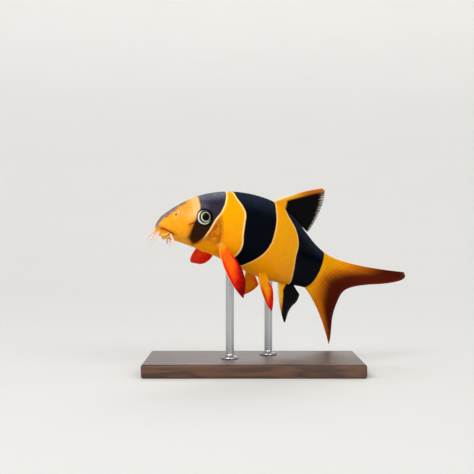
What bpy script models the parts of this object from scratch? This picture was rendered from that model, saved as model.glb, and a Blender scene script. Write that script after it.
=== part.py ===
"""A clown loach, life size, as a still museum model on a plain display stand.

The fish is a bent, tapering body with its fins, eyes and barbels set on its skin. Sizes are in
millimetres until a mesh is made. The origin is the centre of the stand's underside. X runs along
the stand towards the tail, Y away from the viewer, Z up. The left flank faces the viewer.
"""

import math

import bmesh
import bpy
import numpy as np
from mathutils import Matrix, Vector

METRES = 0.001
SEAM = 0.3

# The body: length from the snout to the end of the tail stem, and its outline as shares of it
BODY_LENGTH = 90.0
STATION = np.array([0.0, 0.04, 0.09, 0.16, 0.24, 0.32, 0.42, 0.52, 0.62, 0.72, 0.82, 0.91, 1.0, 1.06])
BACK = np.array([25, 50, 81, 117, 145, 162, 172, 172, 159, 141, 124, 108, 94, 89]) / 1000
BELLY = np.array([31, 46, 59, 78, 97, 113, 128, 140, 138, 123, 101, 85, 79, 78]) / -1000
HALF_WIDTH = np.array([20, 31, 44, 60, 73, 81, 83, 78, 67, 53, 40, 30, 18, 9]) / 1000
NOSE_SHARE = 0.035
PEAR = 0.16

# The pose: how the backbone turns, dips and leans, in degrees at shares of the length
YAW_AT = np.array([0.0, 0.3, 0.55, 0.75, 1.0, 1.4])
YAW = np.radians([30.0, 36, 47, 60, 50, 28])
DIP_AT = np.array([0.0, 0.4, 0.7, 1.0, 1.4])
DIP = np.radians([-5.0, 12, 20, 13, 13])
LEAN_AT = np.array([0.0, 0.5, 1.0, 1.4])
LEAN = np.radians([-10.0, -15.5, -25.5, -25.5])
SNOUT = np.array([-34.8, -27.0, 53.5])
SPINE_END = 1.4
SPINE_STEPS = 281

# Where the body is parted: behind the gill covers, at the vent and at the root of the tail fin
GILL_EDGE = 0.238
GILL_SWEEP = 0.028
GILL_LOW = math.radians(30)
VENT = 0.705
STEM_END = 1.0
STEM_SLANT = 0.035
COLUMNS = 36
NOSE_ROWS = 7
CLEARANCE_ROWS = 34

# The eyes, flattened balls set in sockets with a raised rim
EYE_STATION = 0.180
EYE_RISE = math.radians(15.8)
EYE_RADIUS = 2.8
EYE_DEPTH = 2.0
EYE_STANDS_OUT = 1.0
RIM_RADIUS = 2.85
RIM_THICKNESS = 0.42

# The stand
BASE_SIZE = (80.0, 56.0, 5.0)
BASE_EDGE = 1.0
ROD_RADIUS = 1.5
FOOT_RADIUS = 3.2
FOOT_HEIGHT = 1.3
FOOT_CHAMFER = 0.5
ROD_OVERRUN = 3.0
ROD_STATIONS = {"front": 0.40, "rear": 0.68}

UP = math.pi / 2
DOWN = -math.pi / 2


def smooth(x, xs, ys):
    """A cubic curve through the points, its slopes taken from their neighbours."""
    slopes = np.gradient(ys, xs)
    i = np.clip(np.searchsorted(xs, x) - 1, 0, len(xs) - 2)
    step = xs[i + 1] - xs[i]
    u = np.clip((x - xs[i]) / step, 0, 1)
    start = (1 + 2 * u) * (1 - u) ** 2 * ys[i] + u * (1 - u) ** 2 * step * slopes[i]
    return start + u * u * (3 - 2 * u) * ys[i + 1] + u * u * (u - 1) * step * slopes[i + 1]


def make_spine():
    """Points of the backbone with its three directions: along, across to the right flank, and up."""
    t = np.linspace(0, SPINE_END, SPINE_STEPS)
    yaw = smooth(t, YAW_AT, YAW)
    dip = smooth(t, DIP_AT, DIP)
    lean = smooth(t, LEAN_AT, LEAN)[:, None]
    along = np.stack([np.cos(dip) * np.cos(yaw), np.cos(dip) * np.sin(yaw), -np.sin(dip)], 1)
    level = np.stack([-np.sin(yaw), np.cos(yaw), 0 * yaw], 1)
    upright = np.cross(along, level)
    across = level * np.cos(lean) - upright * np.sin(lean)
    up = upright * np.cos(lean) + level * np.sin(lean)
    place = np.zeros((SPINE_STEPS, 3))
    place[1:] = np.cumsum((along[1:] + along[:-1]) / 2 * BODY_LENGTH * (t[1] - t[0]), 0)
    return t, (place + SNOUT, along, across, up)


SPINE_T, SPINE = make_spine()


def spine(t):
    """Place, along, across and up of the backbone at station t."""
    return [np.stack([np.interp(t, SPINE_T, rows[:, k]) for k in range(3)], -1) for rows in SPINE]


def section(t):
    """Middle height, half height and half width of the body at station t."""
    back, belly, half = (BODY_LENGTH * smooth(t, STATION, v) for v in (BACK, BELLY, HALF_WIDTH))
    s = np.clip(t / NOSE_SHARE, 0, 1)
    nose = np.sqrt(s * (2 - s))
    return (back + belly) / 2, (back - belly) / 2 * nose, half * nose


def skin(t, angle, grow=0.0):
    """A point of the skin: angle 0 is the right flank, a quarter turn the back, a half turn the left."""
    t, angle = np.broadcast_arrays(np.asarray(t, float), np.asarray(angle, float))
    middle, high, half = section(t)
    sideways = (half + grow) * np.cos(angle) * (1 - PEAR * np.sin(angle))
    upward = middle + (high + grow) * np.sin(angle)
    place, _, across, up = spine(t)
    return place + across * sideways[..., None] + up * upward[..., None]


def outward(t, angle):
    """The unit direction that leaves the skin at a right angle."""
    step = 1e-3
    ahead = skin(t + step, angle) - skin(t - step, angle)
    round_it = skin(t, angle + step) - skin(t, angle - step)
    normal = np.cross(ahead, round_it)
    normal = normal / np.linalg.norm(normal)
    place, _, _, up = spine(t)
    middle = place + up * section(t)[0]
    return normal if normal @ (skin(t, angle) - middle) > 0 else -normal


def on_side(rise, side):
    """The section's angle for a rise above the flank's middle: side 1 is the right, -1 the left."""
    return rise if side > 0 else math.pi - rise


def gill_edge(angle):
    """Station of the gill cover's rear edge round the body."""
    rise = np.where(np.cos(angle) < 0, math.pi - angle, angle)
    return GILL_EDGE + GILL_SWEEP * np.cos(rise + GILL_LOW) ** 2


for old in list(bpy.data.objects):
    bpy.data.objects.remove(old, do_unlink=True)

FISH = bpy.data.collections.new("clown_loach")
CUTTERS = bpy.data.collections.new("cutters")
bpy.context.scene.collection.children.link(FISH)
bpy.context.scene.collection.children.link(CUTTERS)
CUTTERS.hide_render = True


def make_material(name, colour, roughness, metallic=0.0):
    """A plain Principled BSDF material."""
    material = bpy.data.materials.new(name)
    material.use_nodes = True
    shader = material.node_tree.nodes["Principled BSDF"]
    shader.inputs["Base Color"].default_value = (*colour, 1.0)
    shader.inputs["Roughness"].default_value = roughness
    shader.inputs["Metallic"].default_value = metallic
    material.diffuse_color = (*colour, 1.0)
    return material


ORANGE = make_material("orange_skin", (0.90, 0.38, 0.02), 0.35)
PALE_ORANGE = make_material("pale_orange_skin", (0.85, 0.50, 0.12), 0.35)
BLACK_FIN = make_material("black_fin", (0.02, 0.02, 0.03), 0.40)
RED_FIN = make_material("red_fin", (0.75, 0.06, 0.02), 0.40)
TAIL_FIN = make_material("tail_fin", (0.70, 0.22, 0.02), 0.40)
EYE = make_material("eye", (0.02, 0.02, 0.02), 0.08)
BARBEL = make_material("barbel", (0.85, 0.62, 0.55), 0.40)
WOOD = make_material("walnut", (0.16, 0.08, 0.04), 0.45)
STEEL = make_material("steel", (0.60, 0.60, 0.62), 0.25, 1.0)


def add_mesh(name, points, faces, material, cutter=False):
    """An object from points in millimetres and its faces."""
    mesh = bpy.data.meshes.new(name)
    mesh.from_pydata((np.asarray(points) * METRES).tolist(), [], faces)
    work = bmesh.new()
    work.from_mesh(mesh)
    bmesh.ops.recalc_face_normals(work, faces=work.faces)
    bmesh.ops.triangulate(work, faces=work.faces)
    work.to_mesh(mesh)
    work.free()
    return add_object(name, mesh, material, cutter)


def add_object(name, mesh, material, cutter=False):
    """Puts a mesh in the scene, as a part or as a cutter that doesn't render."""
    thing = bpy.data.objects.new(name, mesh)
    (CUTTERS if cutter else FISH).objects.link(thing)
    if cutter:
        thing.hide_render = True
        thing.display_type = "WIRE"
    else:
        mesh.materials.clear()
        mesh.materials.append(material)
        mesh.shade_smooth()
    return thing


def drop(thing):
    """Removes an object together with its mesh or curve."""
    data = thing.data
    bpy.data.objects.remove(thing, do_unlink=True)
    (bpy.data.curves if isinstance(data, bpy.types.Curve) else bpy.data.meshes).remove(data)


def loft(name, rings, material, cutter=False):
    """Closed rings joined in a row. Each end is closed by a fan, from a ring's middle or its own point."""
    rings = np.asarray(rings)
    rows, columns = rings.shape[:2]
    points = [*rings.reshape(-1, 3), rings[0].mean(0), rings[-1].mean(0)]
    front, rear = rows * columns, rows * columns + 1
    faces = []
    for j in range(columns):
        after = (j + 1) % columns
        faces.append((front, after, j))
        faces.append((rear, (rows - 1) * columns + j, (rows - 1) * columns + after))
        for i in range(rows - 1):
            corner = i * columns + j
            side = i * columns + after
            faces.append((corner, side, side + columns))
            faces.append((corner, side + columns, corner + columns))
    return add_mesh(name, points, faces, material, cutter)


def boolean(target, tools, operation):
    """Joins or cuts the target with each tool and keeps the largest closed surface. The tools go."""
    for tool in tools:
        step = target.modifiers.new(operation.lower(), "BOOLEAN")
        step.operation = operation
        step.solver = "EXACT"
        step.object = tool
    settle(target)
    for tool in tools:
        drop(tool)
    return target


def settle(target):
    """Applies the modifiers, then keeps only the largest closed surface."""
    graph = bpy.context.evaluated_depsgraph_get()
    made = bpy.data.meshes.new_from_object(target.evaluated_get(graph))
    work = bmesh.new()
    work.from_mesh(made)
    bmesh.ops.remove_doubles(work, verts=work.verts, dist=1e-7)
    bmesh.ops.triangulate(work, faces=work.faces)
    left = set(work.faces)
    islands = []
    while left:
        seed = left.pop()
        island, edge_of_it = [seed], [seed]
        while edge_of_it:
            face = edge_of_it.pop()
            near = {other for edge in face.edges for other in edge.link_faces} & left
            left -= near
            island.extend(near)
            edge_of_it.extend(near)
        islands.append(island)
    islands.sort(key=lambda faces: sum(face.calc_area() for face in faces))
    scraps = [face for island in islands[:-1] for face in island]
    bmesh.ops.delete(work, geom=scraps, context="FACES")
    work.to_mesh(made)
    work.free()
    old = target.data
    target.modifiers.clear()
    target.data = made
    made.shade_smooth()
    bpy.data.meshes.remove(old)


def tube(name, path, radii, material, sides=2, cutter=False):
    """A tube along a path with a radius at each point: a curve with a bevel, made a mesh."""
    curve = bpy.data.curves.new(name, "CURVE")
    curve.dimensions = "3D"
    curve.bevel_depth = METRES
    curve.bevel_resolution = sides
    curve.use_fill_caps = True
    line = curve.splines.new("POLY")
    line.points.add(len(path) - 1)
    for point, place, radius in zip(line.points, path, radii):
        point.co = (*(Vector(place) * METRES), 1.0)
        point.radius = radius
    guide = bpy.data.objects.new(name + "_line", curve)
    CUTTERS.objects.link(guide)
    bpy.context.view_layer.update()
    graph = bpy.context.evaluated_depsgraph_get()
    mesh = bpy.data.meshes.new_from_object(guide.evaluated_get(graph))
    work = bmesh.new()
    work.from_mesh(mesh)
    bmesh.ops.remove_doubles(work, verts=work.verts, dist=1e-6)
    bmesh.ops.recalc_face_normals(work, faces=work.faces)
    work.to_mesh(mesh)
    work.free()
    place = guide.matrix_world.copy()
    drop(guide)
    mesh.name = name
    made = add_object(name, mesh, material, cutter)
    made.matrix_world = place
    return made


def ball(name, centre, axis, radius, depth, material, cutter=False, segments=24, rings=14):
    """A ball flattened along its axis."""
    mesh = bpy.data.meshes.new(name)
    work = bmesh.new()
    bmesh.ops.create_uvsphere(work, u_segments=segments, v_segments=rings, radius=METRES)
    turn = Vector(axis).to_track_quat("Z", "Y").to_matrix().to_4x4()
    size = Matrix.Diagonal((radius, radius, depth, 1.0))
    place = Matrix.Translation(Vector(centre) * METRES)
    bmesh.ops.transform(work, matrix=place @ turn @ size, verts=work.verts)
    work.to_mesh(mesh)
    work.free()
    return add_object(name, mesh, material, cutter)


def ring_round(name, centre, axis, radius, thickness, material, cutter=False, around=24, sides=8):
    """A ring of round section about an axis."""
    turn = np.array(Vector(axis).to_track_quat("Z", "Y").to_matrix())
    big = np.linspace(0, 2 * math.pi, around, endpoint=False)
    small = np.linspace(0, 2 * math.pi, sides, endpoint=False)
    big, small = np.meshgrid(big, small, indexing="ij")
    reach = radius + thickness * np.cos(small)
    local = np.stack([reach * np.cos(big), reach * np.sin(big), thickness * np.sin(small)], -1)
    points = local @ turn.T + centre
    rows, columns = big.shape
    faces = []
    for i in range(rows):
        for j in range(columns):
            ahead, after = (i + 1) % rows, (j + 1) % columns
            corners = (i * columns + j, ahead * columns + j, ahead * columns + after, i * columns + after)
            faces.append(corners)
    return add_mesh(name, points.reshape(-1, 3), faces, material, cutter)


def stem_end(angle):
    """Station where the tail stem ends, further back at the top than at the bottom."""
    return STEM_END + STEM_SLANT * np.sin(angle)


def body_clearance():
    """The whole body, swollen by the seam's width, which fins, rods and barbels are cut clear of."""
    angles = np.linspace(0, 2 * math.pi, COLUMNS, endpoint=False)
    nose = NOSE_SHARE * (1 - np.cos(np.linspace(0.12, UP, NOSE_ROWS)))
    u = np.linspace(0, 1, CLEARANCE_ROWS)[1:, None]
    t = np.concatenate([nose[:, None] + 0 * angles, NOSE_SHARE + u * (stem_end(angles) - NOSE_SHARE)])
    rings = skin(t, angles + 0 * t, SEAM * 1.15)
    along = spine(t[:, 0])[1]
    rings[0] -= along[0] * SEAM * 1.3
    rings[-1] += along[-1] * SEAM
    return loft("clearance", rings, None, cutter=True)


# The head

HEAD_ROWS = 22
FLAP_LIFT = 0.34
LIP_POINTS = 13
UPPER_LIP = dict(station=0.010, back=0.038, spread=62, thick=0.62, thin=0.40)
MOUTH_LINE = dict(station=0.023, back=0.027, spread=60, thick=0.24, thin=0.16)
LOWER_LIP = dict(station=0.037, back=0.015, spread=50, thick=0.55, thin=0.34)
NOSTRIL_STATION = 0.084
NOSTRIL_RISE = math.radians(45)
NOSTRIL_RADIUS = 0.55
NOSTRIL_RIM = 0.22
NOSTRIL_FLAP = 0.62
NOSTRIL_FLAP_THICK = 0.26
NOSTRIL_FLAP_LIFT = 0.15
FRONT_PIT = (0.41, 0.75)
REAR_PIT = (0.34, 0.45)
SPINE_SLIT = ((0.124, 0.0), (0.131, 1.8), (0.138, 3.6), (0.144, 5.4))
SLIT_WIDTHS = (0.10, 0.24, 0.24, 0.10)


def flap(angle):
    """How far the gill cover stands off the flank behind it, most at the middle of the side."""
    rise = np.where(np.cos(angle) < 0, math.pi - angle, angle)
    return FLAP_LIFT * np.clip(np.cos((rise + GILL_LOW * 0.7) * 1.25), 0, 1) ** 0.7


def head():
    """Snout to gill covers. The rings bend back to follow the gill opening."""
    angles = np.linspace(0, 2 * math.pi, COLUMNS, endpoint=False)
    nose = NOSE_SHARE * (1 - np.cos(np.linspace(0.10, UP, NOSE_ROWS)))
    u = np.linspace(0, 1, HEAD_ROWS)[1:]
    edge = gill_edge(angles) - SEAM / 2 / BODY_LENGTH
    behind = NOSE_SHARE + u[:, None] * (edge[None, :] - NOSE_SHARE)
    t = np.concatenate([nose[:, None] + 0 * edge[None, :], behind])
    share = np.concatenate([0 * nose, u])
    lift = np.clip((share - 0.72) / 0.25, 0, 1)[:, None] ** 2 * flap(angles)[None, :]
    rings = skin(t, angles[None, :] + 0 * t, lift)
    thing = loft("head", rings, PALE_ORANGE)
    joined = [mouth_tube("upper_lip", 0.0, **UPPER_LIP), mouth_tube("lower_lip", 0.0, **LOWER_LIP)]
    cuts = [mouth_tube("mouth_line", -0.1, **MOUTH_LINE)]
    for side, word in ((1, "right"), (-1, "left")):
        centre, axis = eye_place(side)
        rim = rim_centre(side)
        joined.append(ring_round("rim_" + word, rim, axis, RIM_RADIUS, RIM_THICKNESS, None, True))
        cuts.append(ball("socket_" + word, centre, axis, EYE_RADIUS + SEAM, EYE_DEPTH + SEAM, None, True))
        joined += nostril_rims(side, word)
        cuts += nostril_pits(side, word)
        slit = [skin(t, on_side(math.radians(rise), side)) for t, rise in SPINE_SLIT]
        cuts.append(tube("spine_slit_" + word, slit, SLIT_WIDTHS, None, 1, True))
    boolean(thing, joined, "UNION")
    return boolean(thing, cuts, "DIFFERENCE")


def mouth_tube(name, lift, station, back, spread, thick, thin, swell=0.0):
    """A tube along the underside of the snout, from one corner of the mouth round to the other."""
    v = np.linspace(-1, 1, LIP_POINTS)
    angles = DOWN + np.radians(spread) * v
    path = skin(station + back * v ** 2, angles, lift)
    radii = thick + (thin - thick) * v ** 2 + swell
    return tube(name, path, radii, None, 1, True)


def nostril_places(side):
    """The front nostril, the flap behind it and the rear nostril: a place and the skin's direction each."""
    places = []
    for shift, drop_by in ((-0.010, 3), (0.002, 0), (0.013, -3)):
        angle = on_side(NOSTRIL_RISE - math.radians(drop_by), side)
        station = NOSTRIL_STATION + shift
        places.append((skin(station, angle), outward(station, angle)))
    return places


def nostril_rims(side, word):
    """The raised ring of the front nostril and the flap that stands behind it."""
    (front, front_axis), (flap_place, flap_axis), _ = nostril_places(side)
    name = "nostril_rim_" + word
    ring = ring_round(name, front, front_axis, NOSTRIL_RADIUS, NOSTRIL_RIM, None, True, 12, 6)
    along = spine(NOSTRIL_STATION)[1]
    place = flap_place + flap_axis * NOSTRIL_FLAP_LIFT
    standing = ball("nostril_flap_" + word, place, along, NOSTRIL_FLAP, NOSTRIL_FLAP_THICK, None, True, 10, 6)
    return [ring, standing]


def nostril_pits(side, word):
    """The hollows of the two nostrils."""
    (front, front_axis), _, (rear, rear_axis) = nostril_places(side)
    return [ball("front_pit_" + word, front, front_axis, *FRONT_PIT, None, True, 10, 6),
            ball("rear_pit_" + word, rear, rear_axis, *REAR_PIT, None, True, 10, 6)]


def eye_place(side):
    """Centre of an eye's ball and the direction it looks in."""
    angle = on_side(EYE_RISE, side)
    axis = outward(EYE_STATION, angle)
    return skin(EYE_STATION, angle) - axis * (EYE_DEPTH - EYE_STANDS_OUT), axis


def rim_centre(side):
    """Centre of the ring round an eye, a little below the skin."""
    angle = on_side(EYE_RISE, side)
    return skin(EYE_STATION, angle) - outward(EYE_STATION, angle) * RIM_THICKNESS * 0.4


def eyes():
    """The two eyes."""
    for side, word in ((1, "right"), (-1, "left")):
        centre, axis = eye_place(side)
        ball("eye_" + word, centre, axis, EYE_RADIUS, EYE_DEPTH, EYE, segments=20, rings=12)


# The trunk and the tail stem

TRUNK_ROWS = 20
STEM_ROWS = 13


def trunk():
    """Gill opening to vent. Its first ring follows the gill covers' edge."""
    angles = np.linspace(0, 2 * math.pi, COLUMNS, endpoint=False)
    u = np.linspace(0, 1, TRUNK_ROWS)[:, None]
    front = gill_edge(angles)[None, :] + SEAM / 2 / BODY_LENGTH
    rear = VENT - SEAM / 2 / BODY_LENGTH
    t = front + u * (rear - front)
    return loft("trunk", skin(t, angles[None, :] + 0 * t), ORANGE)


def tail_stem():
    """Vent to the root of the tail fin."""
    angles = np.linspace(0, 2 * math.pi, COLUMNS, endpoint=False)
    u = np.linspace(0, 1, STEM_ROWS)[:, None]
    front = VENT + SEAM / 2 / BODY_LENGTH
    t = front + u * (stem_end(angles) - front)
    return loft("tail_stem", skin(t, angles + 0 * t), ORANGE)


# The fins: each is a fan of rays from a line on the skin

FIN_THICKNESS = 0.78
FIN_TAPER = 0.26
FIN_EDGE_TAPER = 0.22
RAY_HEIGHT = 0.15
RAY_FADES = 0.7
ROOT_INSET = 1.2
ROOT_SUNK = 1.0
FLAT = (0, 0)


def along_fan(values, s):
    """A value at share s of a fan, on a smooth curve through those of evenly spaced rays."""
    return smooth(s, np.linspace(0, 1, len(values)), np.array(values, float))


def skin_line(start, end, columns):
    """A fin's root line on the skin, from one (station, angle) to another."""
    s = np.linspace(0, 1, columns)
    t = start[0] + (end[0] - start[0]) * s
    return t, skin(t, start[1] + (end[1] - start[1]) * s)


def stem_line(start, end, columns):
    """A root line down the middle of the tail stem's end, from one height to another."""
    level = np.linspace(start, end, columns)
    t = STEM_END + STEM_SLANT * level
    middle, high, _ = section(t)
    place, _, _, up = spine(t)
    return t, place + up * (middle + high * level)[:, None]


def fan(line, inset, side, upward, angle, splay, length, sweep, curl, rows):
    """Points of a fin's middle surface, rays along axis 0 and the spread along axis 1.

    A ray leaves its root at an angle above the rearward direction (below it where upward is -1)
    and a splay to the side. Sweep bends it in the fin's own plane and curl bends it sideways.
    The first row lies inside the body.
    """
    t, root = line
    s = np.linspace(0, 1, len(t))
    r = np.linspace(0, 1, rows)[:, None]
    place, along, across, up = spine(t)
    a = np.radians(along_fan(angle, s) + along_fan(sweep, s) * (r - 0.5))[..., None]
    g = np.radians(along_fan(splay, s) + along_fan(curl, s) * (r - 0.5))[..., None]
    way = np.cos(g) * (np.cos(a) * along + upward * np.sin(a) * up) + side * np.sin(g) * across
    step = np.diff(r, axis=0)[..., None] * (way[1:] + way[:-1]) / 2
    reach = along_fan(length, s)[:, None]
    rays = root + np.concatenate([0 * way[:1], np.cumsum(step, 0)]) * reach
    inward = place + up * section(t)[0][:, None] - root
    inward /= np.maximum(np.linalg.norm(inward, axis=1, keepdims=True), 1e-6)
    sunk = root - way[0] * ROOT_SUNK + inward * inset
    return np.concatenate([sunk[None], rays])


def membrane(name, middle, material):
    """A thin closed fin about its middle surface, with every other column raised as a ray on both faces."""
    rows, columns = middle.shape[:2]
    normal = np.cross(np.gradient(middle, axis=0), np.gradient(middle, axis=1))
    normal /= np.linalg.norm(normal, axis=2, keepdims=True)
    r = np.linspace(0, 1, rows)[:, None]
    half = (FIN_THICKNESS - FIN_TAPER * r - FIN_EDGE_TAPER * r ** 6) / 2 + 0 * middle[..., 0]
    half[:, ::2] += RAY_HEIGHT * (1 - RAY_FADES * r)
    faces_out = [middle + normal * half[..., None], middle - normal * half[..., None]]
    points = np.concatenate([face.reshape(-1, 3) for face in faces_out])
    other = rows * columns
    faces = []
    for i in range(rows - 1):
        for j in range(columns - 1):
            a = i * columns + j
            b, c, d = a + 1, a + columns + 1, a + columns
            faces += [(a, b, c), (a, c, d)]
            faces += [(other + a, other + c, other + b), (other + a, other + d, other + c)]
    border = list(range(columns))
    border += [i * columns + columns - 1 for i in range(1, rows)]
    border += [(rows - 1) * columns + j for j in range(columns - 2, -1, -1)]
    border += [i * columns for i in range(rows - 2, 0, -1)]
    for a, b in zip(border, border[1:] + border[:1]):
        faces += [(a, other + a, other + b), (a, other + b, b)]
    return add_mesh(name, points, faces, material)


def cut_clear(thing, others=()):
    """Cuts a fin, barbel or rod back to the body's skin, and to other forms, with the seam left open."""
    return boolean(thing, [body_clearance(), *others], "DIFFERENCE")


def dorsal_fin():
    """The fin on the back, raised and leaning towards the viewer."""
    line = skin_line((0.505, UP), (0.69, UP), 21)
    surface = fan(line, ROOT_INSET, 1, 1, rows=9,
                  angle=(38.5, 32, 21, 7.5, -9), splay=(-20, -18, -15, -12, -9),
                  length=(21.0, 17.8, 14.0, 10.3, 6.8), sweep=(-14, -14, -8, -4, 0), curl=FLAT)
    cut_clear(membrane("dorsal_fin", surface, BLACK_FIN))


def anal_fin():
    """The fin behind the vent."""
    line = skin_line((0.760, DOWN), (0.878, DOWN), 15)
    surface = fan(line, ROOT_INSET, 1, -1, rows=8,
                  angle=(58, 51, 44, 36, 24), splay=(-22, -21, -20, -19, -18),
                  length=(16.9, 12.3, 9.9, 8.4, 5.6), sweep=(-31, -18, -8, 0, 0), curl=FLAT)
    cut_clear(membrane("anal_fin", surface, BLACK_FIN))


LOBE_OUTER = 0.985
LOBE_INNER = 0.025
LOBE_COLUMNS = 17
LOBE_ROWS = 11


def tail_fins():
    """The two lobes of the tail fin, on either side of the fork."""
    upper = fan(stem_line(LOBE_OUTER, LOBE_INNER, LOBE_COLUMNS), 0.0, 1, 1, rows=LOBE_ROWS,
                angle=(18, 12, 0, -8, -14), splay=(-34, -31, -28, -25, -22),
                length=(32.6, 32.6, 21.5, 16.4, 15.2), sweep=(34, 26, 4, 0, 0),
                curl=(-30, -28, -26, -24, -22))
    lower = fan(stem_line(-LOBE_OUTER, -LOBE_INNER, LOBE_COLUMNS), 0.0, 1, 1, rows=LOBE_ROWS,
                angle=(-35, -34.5, -32, -26, -18), splay=(-10, -13, -16, -19, -22),
                length=(33.6, 26.8, 20.7, 17.0, 15.1), sweep=(-28, -18, -10, -4, 0),
                curl=(-14, -16, -18, -20, -22))
    for word, surface in (("upper", upper), ("lower", lower)):
        cut_clear(membrane("caudal_fin_" + word, surface, TAIL_FIN))


CHEST_ROOT = ((0.270, math.radians(-45)), (0.296, math.radians(-36)))
CHEST = {
    "left": dict(angle=(58, 55, 49, 44, 45), splay=(22, 24, 27, 30, 33),
                 length=(21.2, 18.8, 15.1, 10.7, 7.4), sweep=(-36, -26, -16, -8, 0)),
    "right": dict(angle=(58, 59, 58, 53, 46), splay=(50, 42, 32, 22, 14),
                  length=(21.0, 17.4, 14.4, 11.4, 8.8), sweep=(-60, -46, -28, -12, 0)),
}
KEEL_ROOT = ((0.550, math.radians(-66)), (0.590, math.radians(-58)))
KEEL = {
    "left": dict(angle=(46, 42, 40), splay=(14, 17, 20), length=(16.7, 11.6, 6.6), sweep=(-34, -18, 0)),
    "right": dict(angle=(44, 34, 25), splay=(26, 18, 10), length=(16.6, 13.9, 10.6), sweep=(-20, -12, 0)),
}


def paired_fins():
    """The pectoral fins behind the gill covers and the pelvic fins under the belly."""
    for side, word in ((1, "right"), (-1, "left")):
        pairs = (("pectoral", CHEST_ROOT, CHEST, 23), ("pelvic", KEEL_ROOT, KEEL, 15))
        for kind, root, shape, columns in pairs:
            line = skin_line(*[(t, on_side(rise, side)) for t, rise in root], columns)
            surface = fan(line, ROOT_INSET, side, -1, rows=9, curl=FLAT, **shape[word])
            cut_clear(membrane(kind + "_fin_" + word, surface, RED_FIN))


# The barbels: four pairs, by their root's station and drop, their length and the way they hang

BARBELS = {
    "rostral_outer": dict(station=0.011, rise=-40, length=4.4, thick=0.48, way=(-0.60, -0.70, 0.35)),
    "rostral_inner": dict(station=0.008, rise=-68, length=4.0, thick=0.44, way=(-0.40, -0.85, 0.12)),
    "maxillary": dict(station=0.052, rise=-36, length=4.2, thick=0.48, way=(0.40, -0.80, 0.30)),
    "mandibular": dict(station=0.062, rise=-76, length=2.3, thick=0.44, way=(0.10, -0.95, 0.10)),
}
BARBEL_POINTS = 9
BARBEL_SUNK = 0.8
BARBEL_THINS = 0.5


def barbels():
    """Fleshy feelers round the mouth, each a tube that thins towards its tip and droops."""
    for kind, size in BARBELS.items():
        for side, word in ((1, "right"), (-1, "left")):
            angle = on_side(math.radians(size["rise"]), side)
            root = skin(size["station"], angle)
            out = outward(size["station"], angle)
            _, along, across, up = spine(size["station"])
            back, rise, sideways = size["way"]
            hang = along * back + up * rise + across * side * sideways
            hang = hang / np.linalg.norm(hang)
            s = np.linspace(0, 1, BARBEL_POINTS)[:, None]
            bend = np.sin(s * UP)
            way = out * (1 - bend) + hang * bend
            way = way / np.linalg.norm(way, axis=1, keepdims=True)
            length = size["length"] + BARBEL_SUNK
            path = root - out * BARBEL_SUNK + np.cumsum(way, 0) * length / BARBEL_POINTS
            radii = size["thick"] * (1 - BARBEL_THINS * s[:, 0])
            name = "barbel_" + kind + "_" + word
            lips = [mouth_tube("near_upper_lip", 0.0, **UPPER_LIP, swell=SEAM * 1.3),
                    mouth_tube("near_lower_lip", 0.0, **LOWER_LIP, swell=SEAM * 1.3)]
            cut_clear(tube(name, path, radii, BARBEL, sides=1), lips)


# The stand


def stand():
    """A wooden base and two steel rods with a small foot each, cut clear of the belly."""
    width, depth, height = BASE_SIZE
    mesh = bpy.data.meshes.new("stand_base")
    work = bmesh.new()
    bmesh.ops.create_cube(work, size=1.0)
    size = Matrix.Diagonal((width * METRES, depth * METRES, height * METRES, 1.0))
    lift = Matrix.Translation((0.0, 0.0, height / 2 * METRES))
    bmesh.ops.transform(work, matrix=lift @ size, verts=work.verts)
    work.to_mesh(mesh)
    work.free()
    base = add_object("stand_base", mesh, WOOD)
    edge = base.modifiers.new("rounded_edge", "BEVEL")
    edge.width = BASE_EDGE * METRES
    edge.segments = 3
    for word, station in ROD_STATIONS.items():
        under = skin(station, DOWN)
        rod(word, under, height + SEAM)


def rod(word, under, foot_level):
    """A turned rod with a foot, standing below a point of the belly."""
    top = under[2] + ROD_OVERRUN
    profile = [(0.0, top), (ROD_RADIUS, top), (ROD_RADIUS, foot_level + FOOT_HEIGHT),
               (FOOT_RADIUS - FOOT_CHAMFER, foot_level + FOOT_HEIGHT * 0.75),
               (FOOT_RADIUS, foot_level + FOOT_HEIGHT * 0.4), (FOOT_RADIUS, foot_level), (0.0, foot_level)]
    mesh = bpy.data.meshes.new("stand_rod_" + word)
    points = [(r * METRES, 0.0, z * METRES) for r, z in profile]
    mesh.from_pydata(points, [(i, i + 1) for i in range(len(points) - 1)], [])
    thing = add_object("stand_rod_" + word, mesh, STEEL)
    thing.location = (under[0] * METRES, under[1] * METRES, 0.0)
    turn = thing.modifiers.new("turned", "SCREW")
    turn.steps = 20
    turn.render_steps = 20
    turn.use_merge_vertices = True
    turn.merge_threshold = 1e-6
    bpy.context.view_layer.update()
    settle(thing)
    return cut_clear(thing)


head()
eyes()
trunk()
tail_stem()
dorsal_fin()
anal_fin()
tail_fins()
paired_fins()
barbels()
stand()
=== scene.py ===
"""The looks of a clown loach, life size, shown as a still museum model on a plain display stand.

Every piece is a surface worked out on a grid of two parameters, in millimetres, from the same
backbone, sections and fin rays as the solids, and then put into a mesh in metres. X runs along
the stand towards the tail, Y away from the viewer and Z up. The left flank faces the viewer.
"""

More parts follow.
